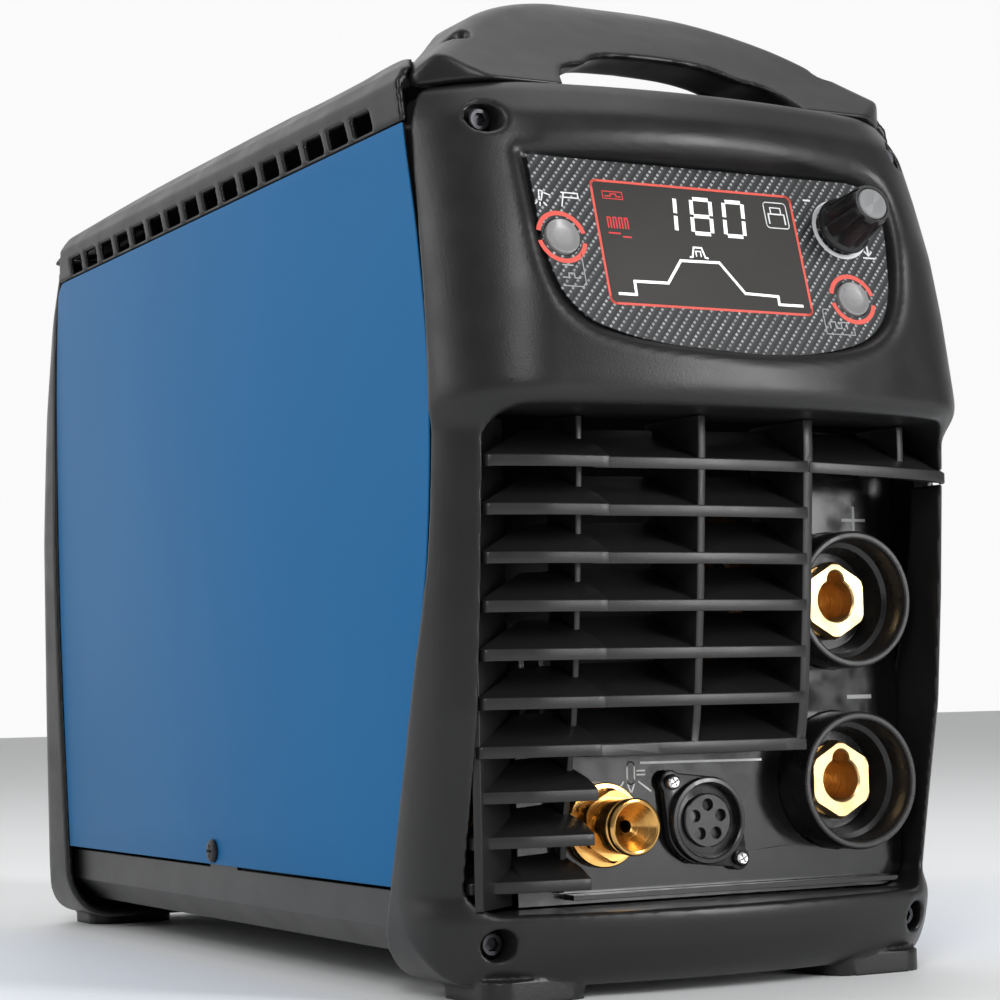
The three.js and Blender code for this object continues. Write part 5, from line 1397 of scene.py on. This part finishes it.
# Soft lights, in metres and watts: name, place, width, height, power.
SOFTBOXES = [
    ("key", (-1.1, -1.5, 1.3), 0.5, 1.3, 16),
    ("front_strip", (0.9, -1.7, 0.7), 0.35, 1.2, 26),
    ("rim", (-1.6, 0.7, 0.9), 0.4, 1.2, 6),
    ("top", (0.1, 0.1, 1.7), 1.2, 1.2, 7),
]
LIGHT_TARGET = (0, 0, 0.15)
# The world's strength by how far a direction points to the rear.
WORLD = {"From Min": 0.1, "From Max": 0.75, "To Min": 0.17, "To Max": 0.96}
FLOOR_REACH = 6.0


def build_camera():
    yaw, pitch, roll = (math.radians(CAMERA[key]) for key in ("yaw", "pitch", "roll"))
    forward = Vector((math.sin(yaw) * math.cos(pitch), math.cos(yaw) * math.cos(pitch), math.sin(pitch)))
    level = Vector((math.cos(yaw), -math.sin(yaw), 0))
    upward = level.cross(forward)
    right = level * math.cos(roll) + upward * math.sin(roll)
    top = upward * math.cos(roll) - level * math.sin(roll)
    data = bpy.data.cameras.new("camera")
    data.lens = CAMERA["lens"]
    data.sensor_width = 36
    data.clip_start, data.clip_end = 0.01, 50
    camera = placed("camera", data)
    camera.matrix_world = face_frame(right, top, -forward, [c * MM for c in CAMERA["place"]])
    bpy.context.scene.camera = camera


def softbox(name, place, width, height, power):
    data = bpy.data.lights.new(name, "AREA")
    data.shape = "RECTANGLE"
    data.size, data.size_y = width, height
    data.energy = power
    light = placed(name, data)
    light.location = place
    light.rotation_mode = "QUATERNION"
    light.rotation_quaternion = (Vector(LIGHT_TARGET) - Vector(place)).to_track_quat("-Z", "Y")


def light_world(tree):
    """A white backdrop behind the machine that fades to a dimmer room in front of it."""
    direction = tree.nodes.new("ShaderNodeSeparateXYZ")
    tree.links.new(tree.nodes.new("ShaderNodeTexCoord").outputs["Generated"], direction.inputs[0])
    fade = tree.nodes.new("ShaderNodeMapRange")
    for key, value in WORLD.items():
        fade.inputs[key].default_value = value
    tree.links.new(direction.outputs["Y"], fade.inputs["Value"])
    tree.nodes["Background"].inputs["Color"].default_value = (1, 1, 1, 1)
    tree.links.new(fade.outputs[0], tree.nodes["Background"].inputs["Strength"])


def build_studio():
    floor_mesh = bpy.data.meshes.new("floor")
    reach = FLOOR_REACH
    corners = [(-reach, -reach, 0), (reach, -reach, 0), (reach, reach, 0), (-reach, reach, 0)]
    floor_mesh.from_pydata(corners, [], [(0, 1, 2, 3)])
    surface = Surface("pale_floor", linear(244, 245, 246), 0.6)
    surface.mottle(300, 0.01)
    floor_mesh.materials.append(surface.material)
    floor = placed("floor", floor_mesh)
    world = bpy.data.worlds.new("studio")
    world.use_nodes = True
    light_world(world.node_tree)
    bpy.context.scene.world = world
    for box in SOFTBOXES:
        softbox(*box)
    bpy.context.scene.view_settings.view_transform = "Standard"


build_camera()
build_studio()
build_mouldings()
build_side_panels()
build_grille()
build_sockets()
build_gas_outlet()
build_control_connector()
build_screws()
build_panel()
build_display_marks()
build_panel_marks()
build_plate_marks()
build_fan_guard()
build_gland()
build_gas_inlet()
dress_kept_nodes()
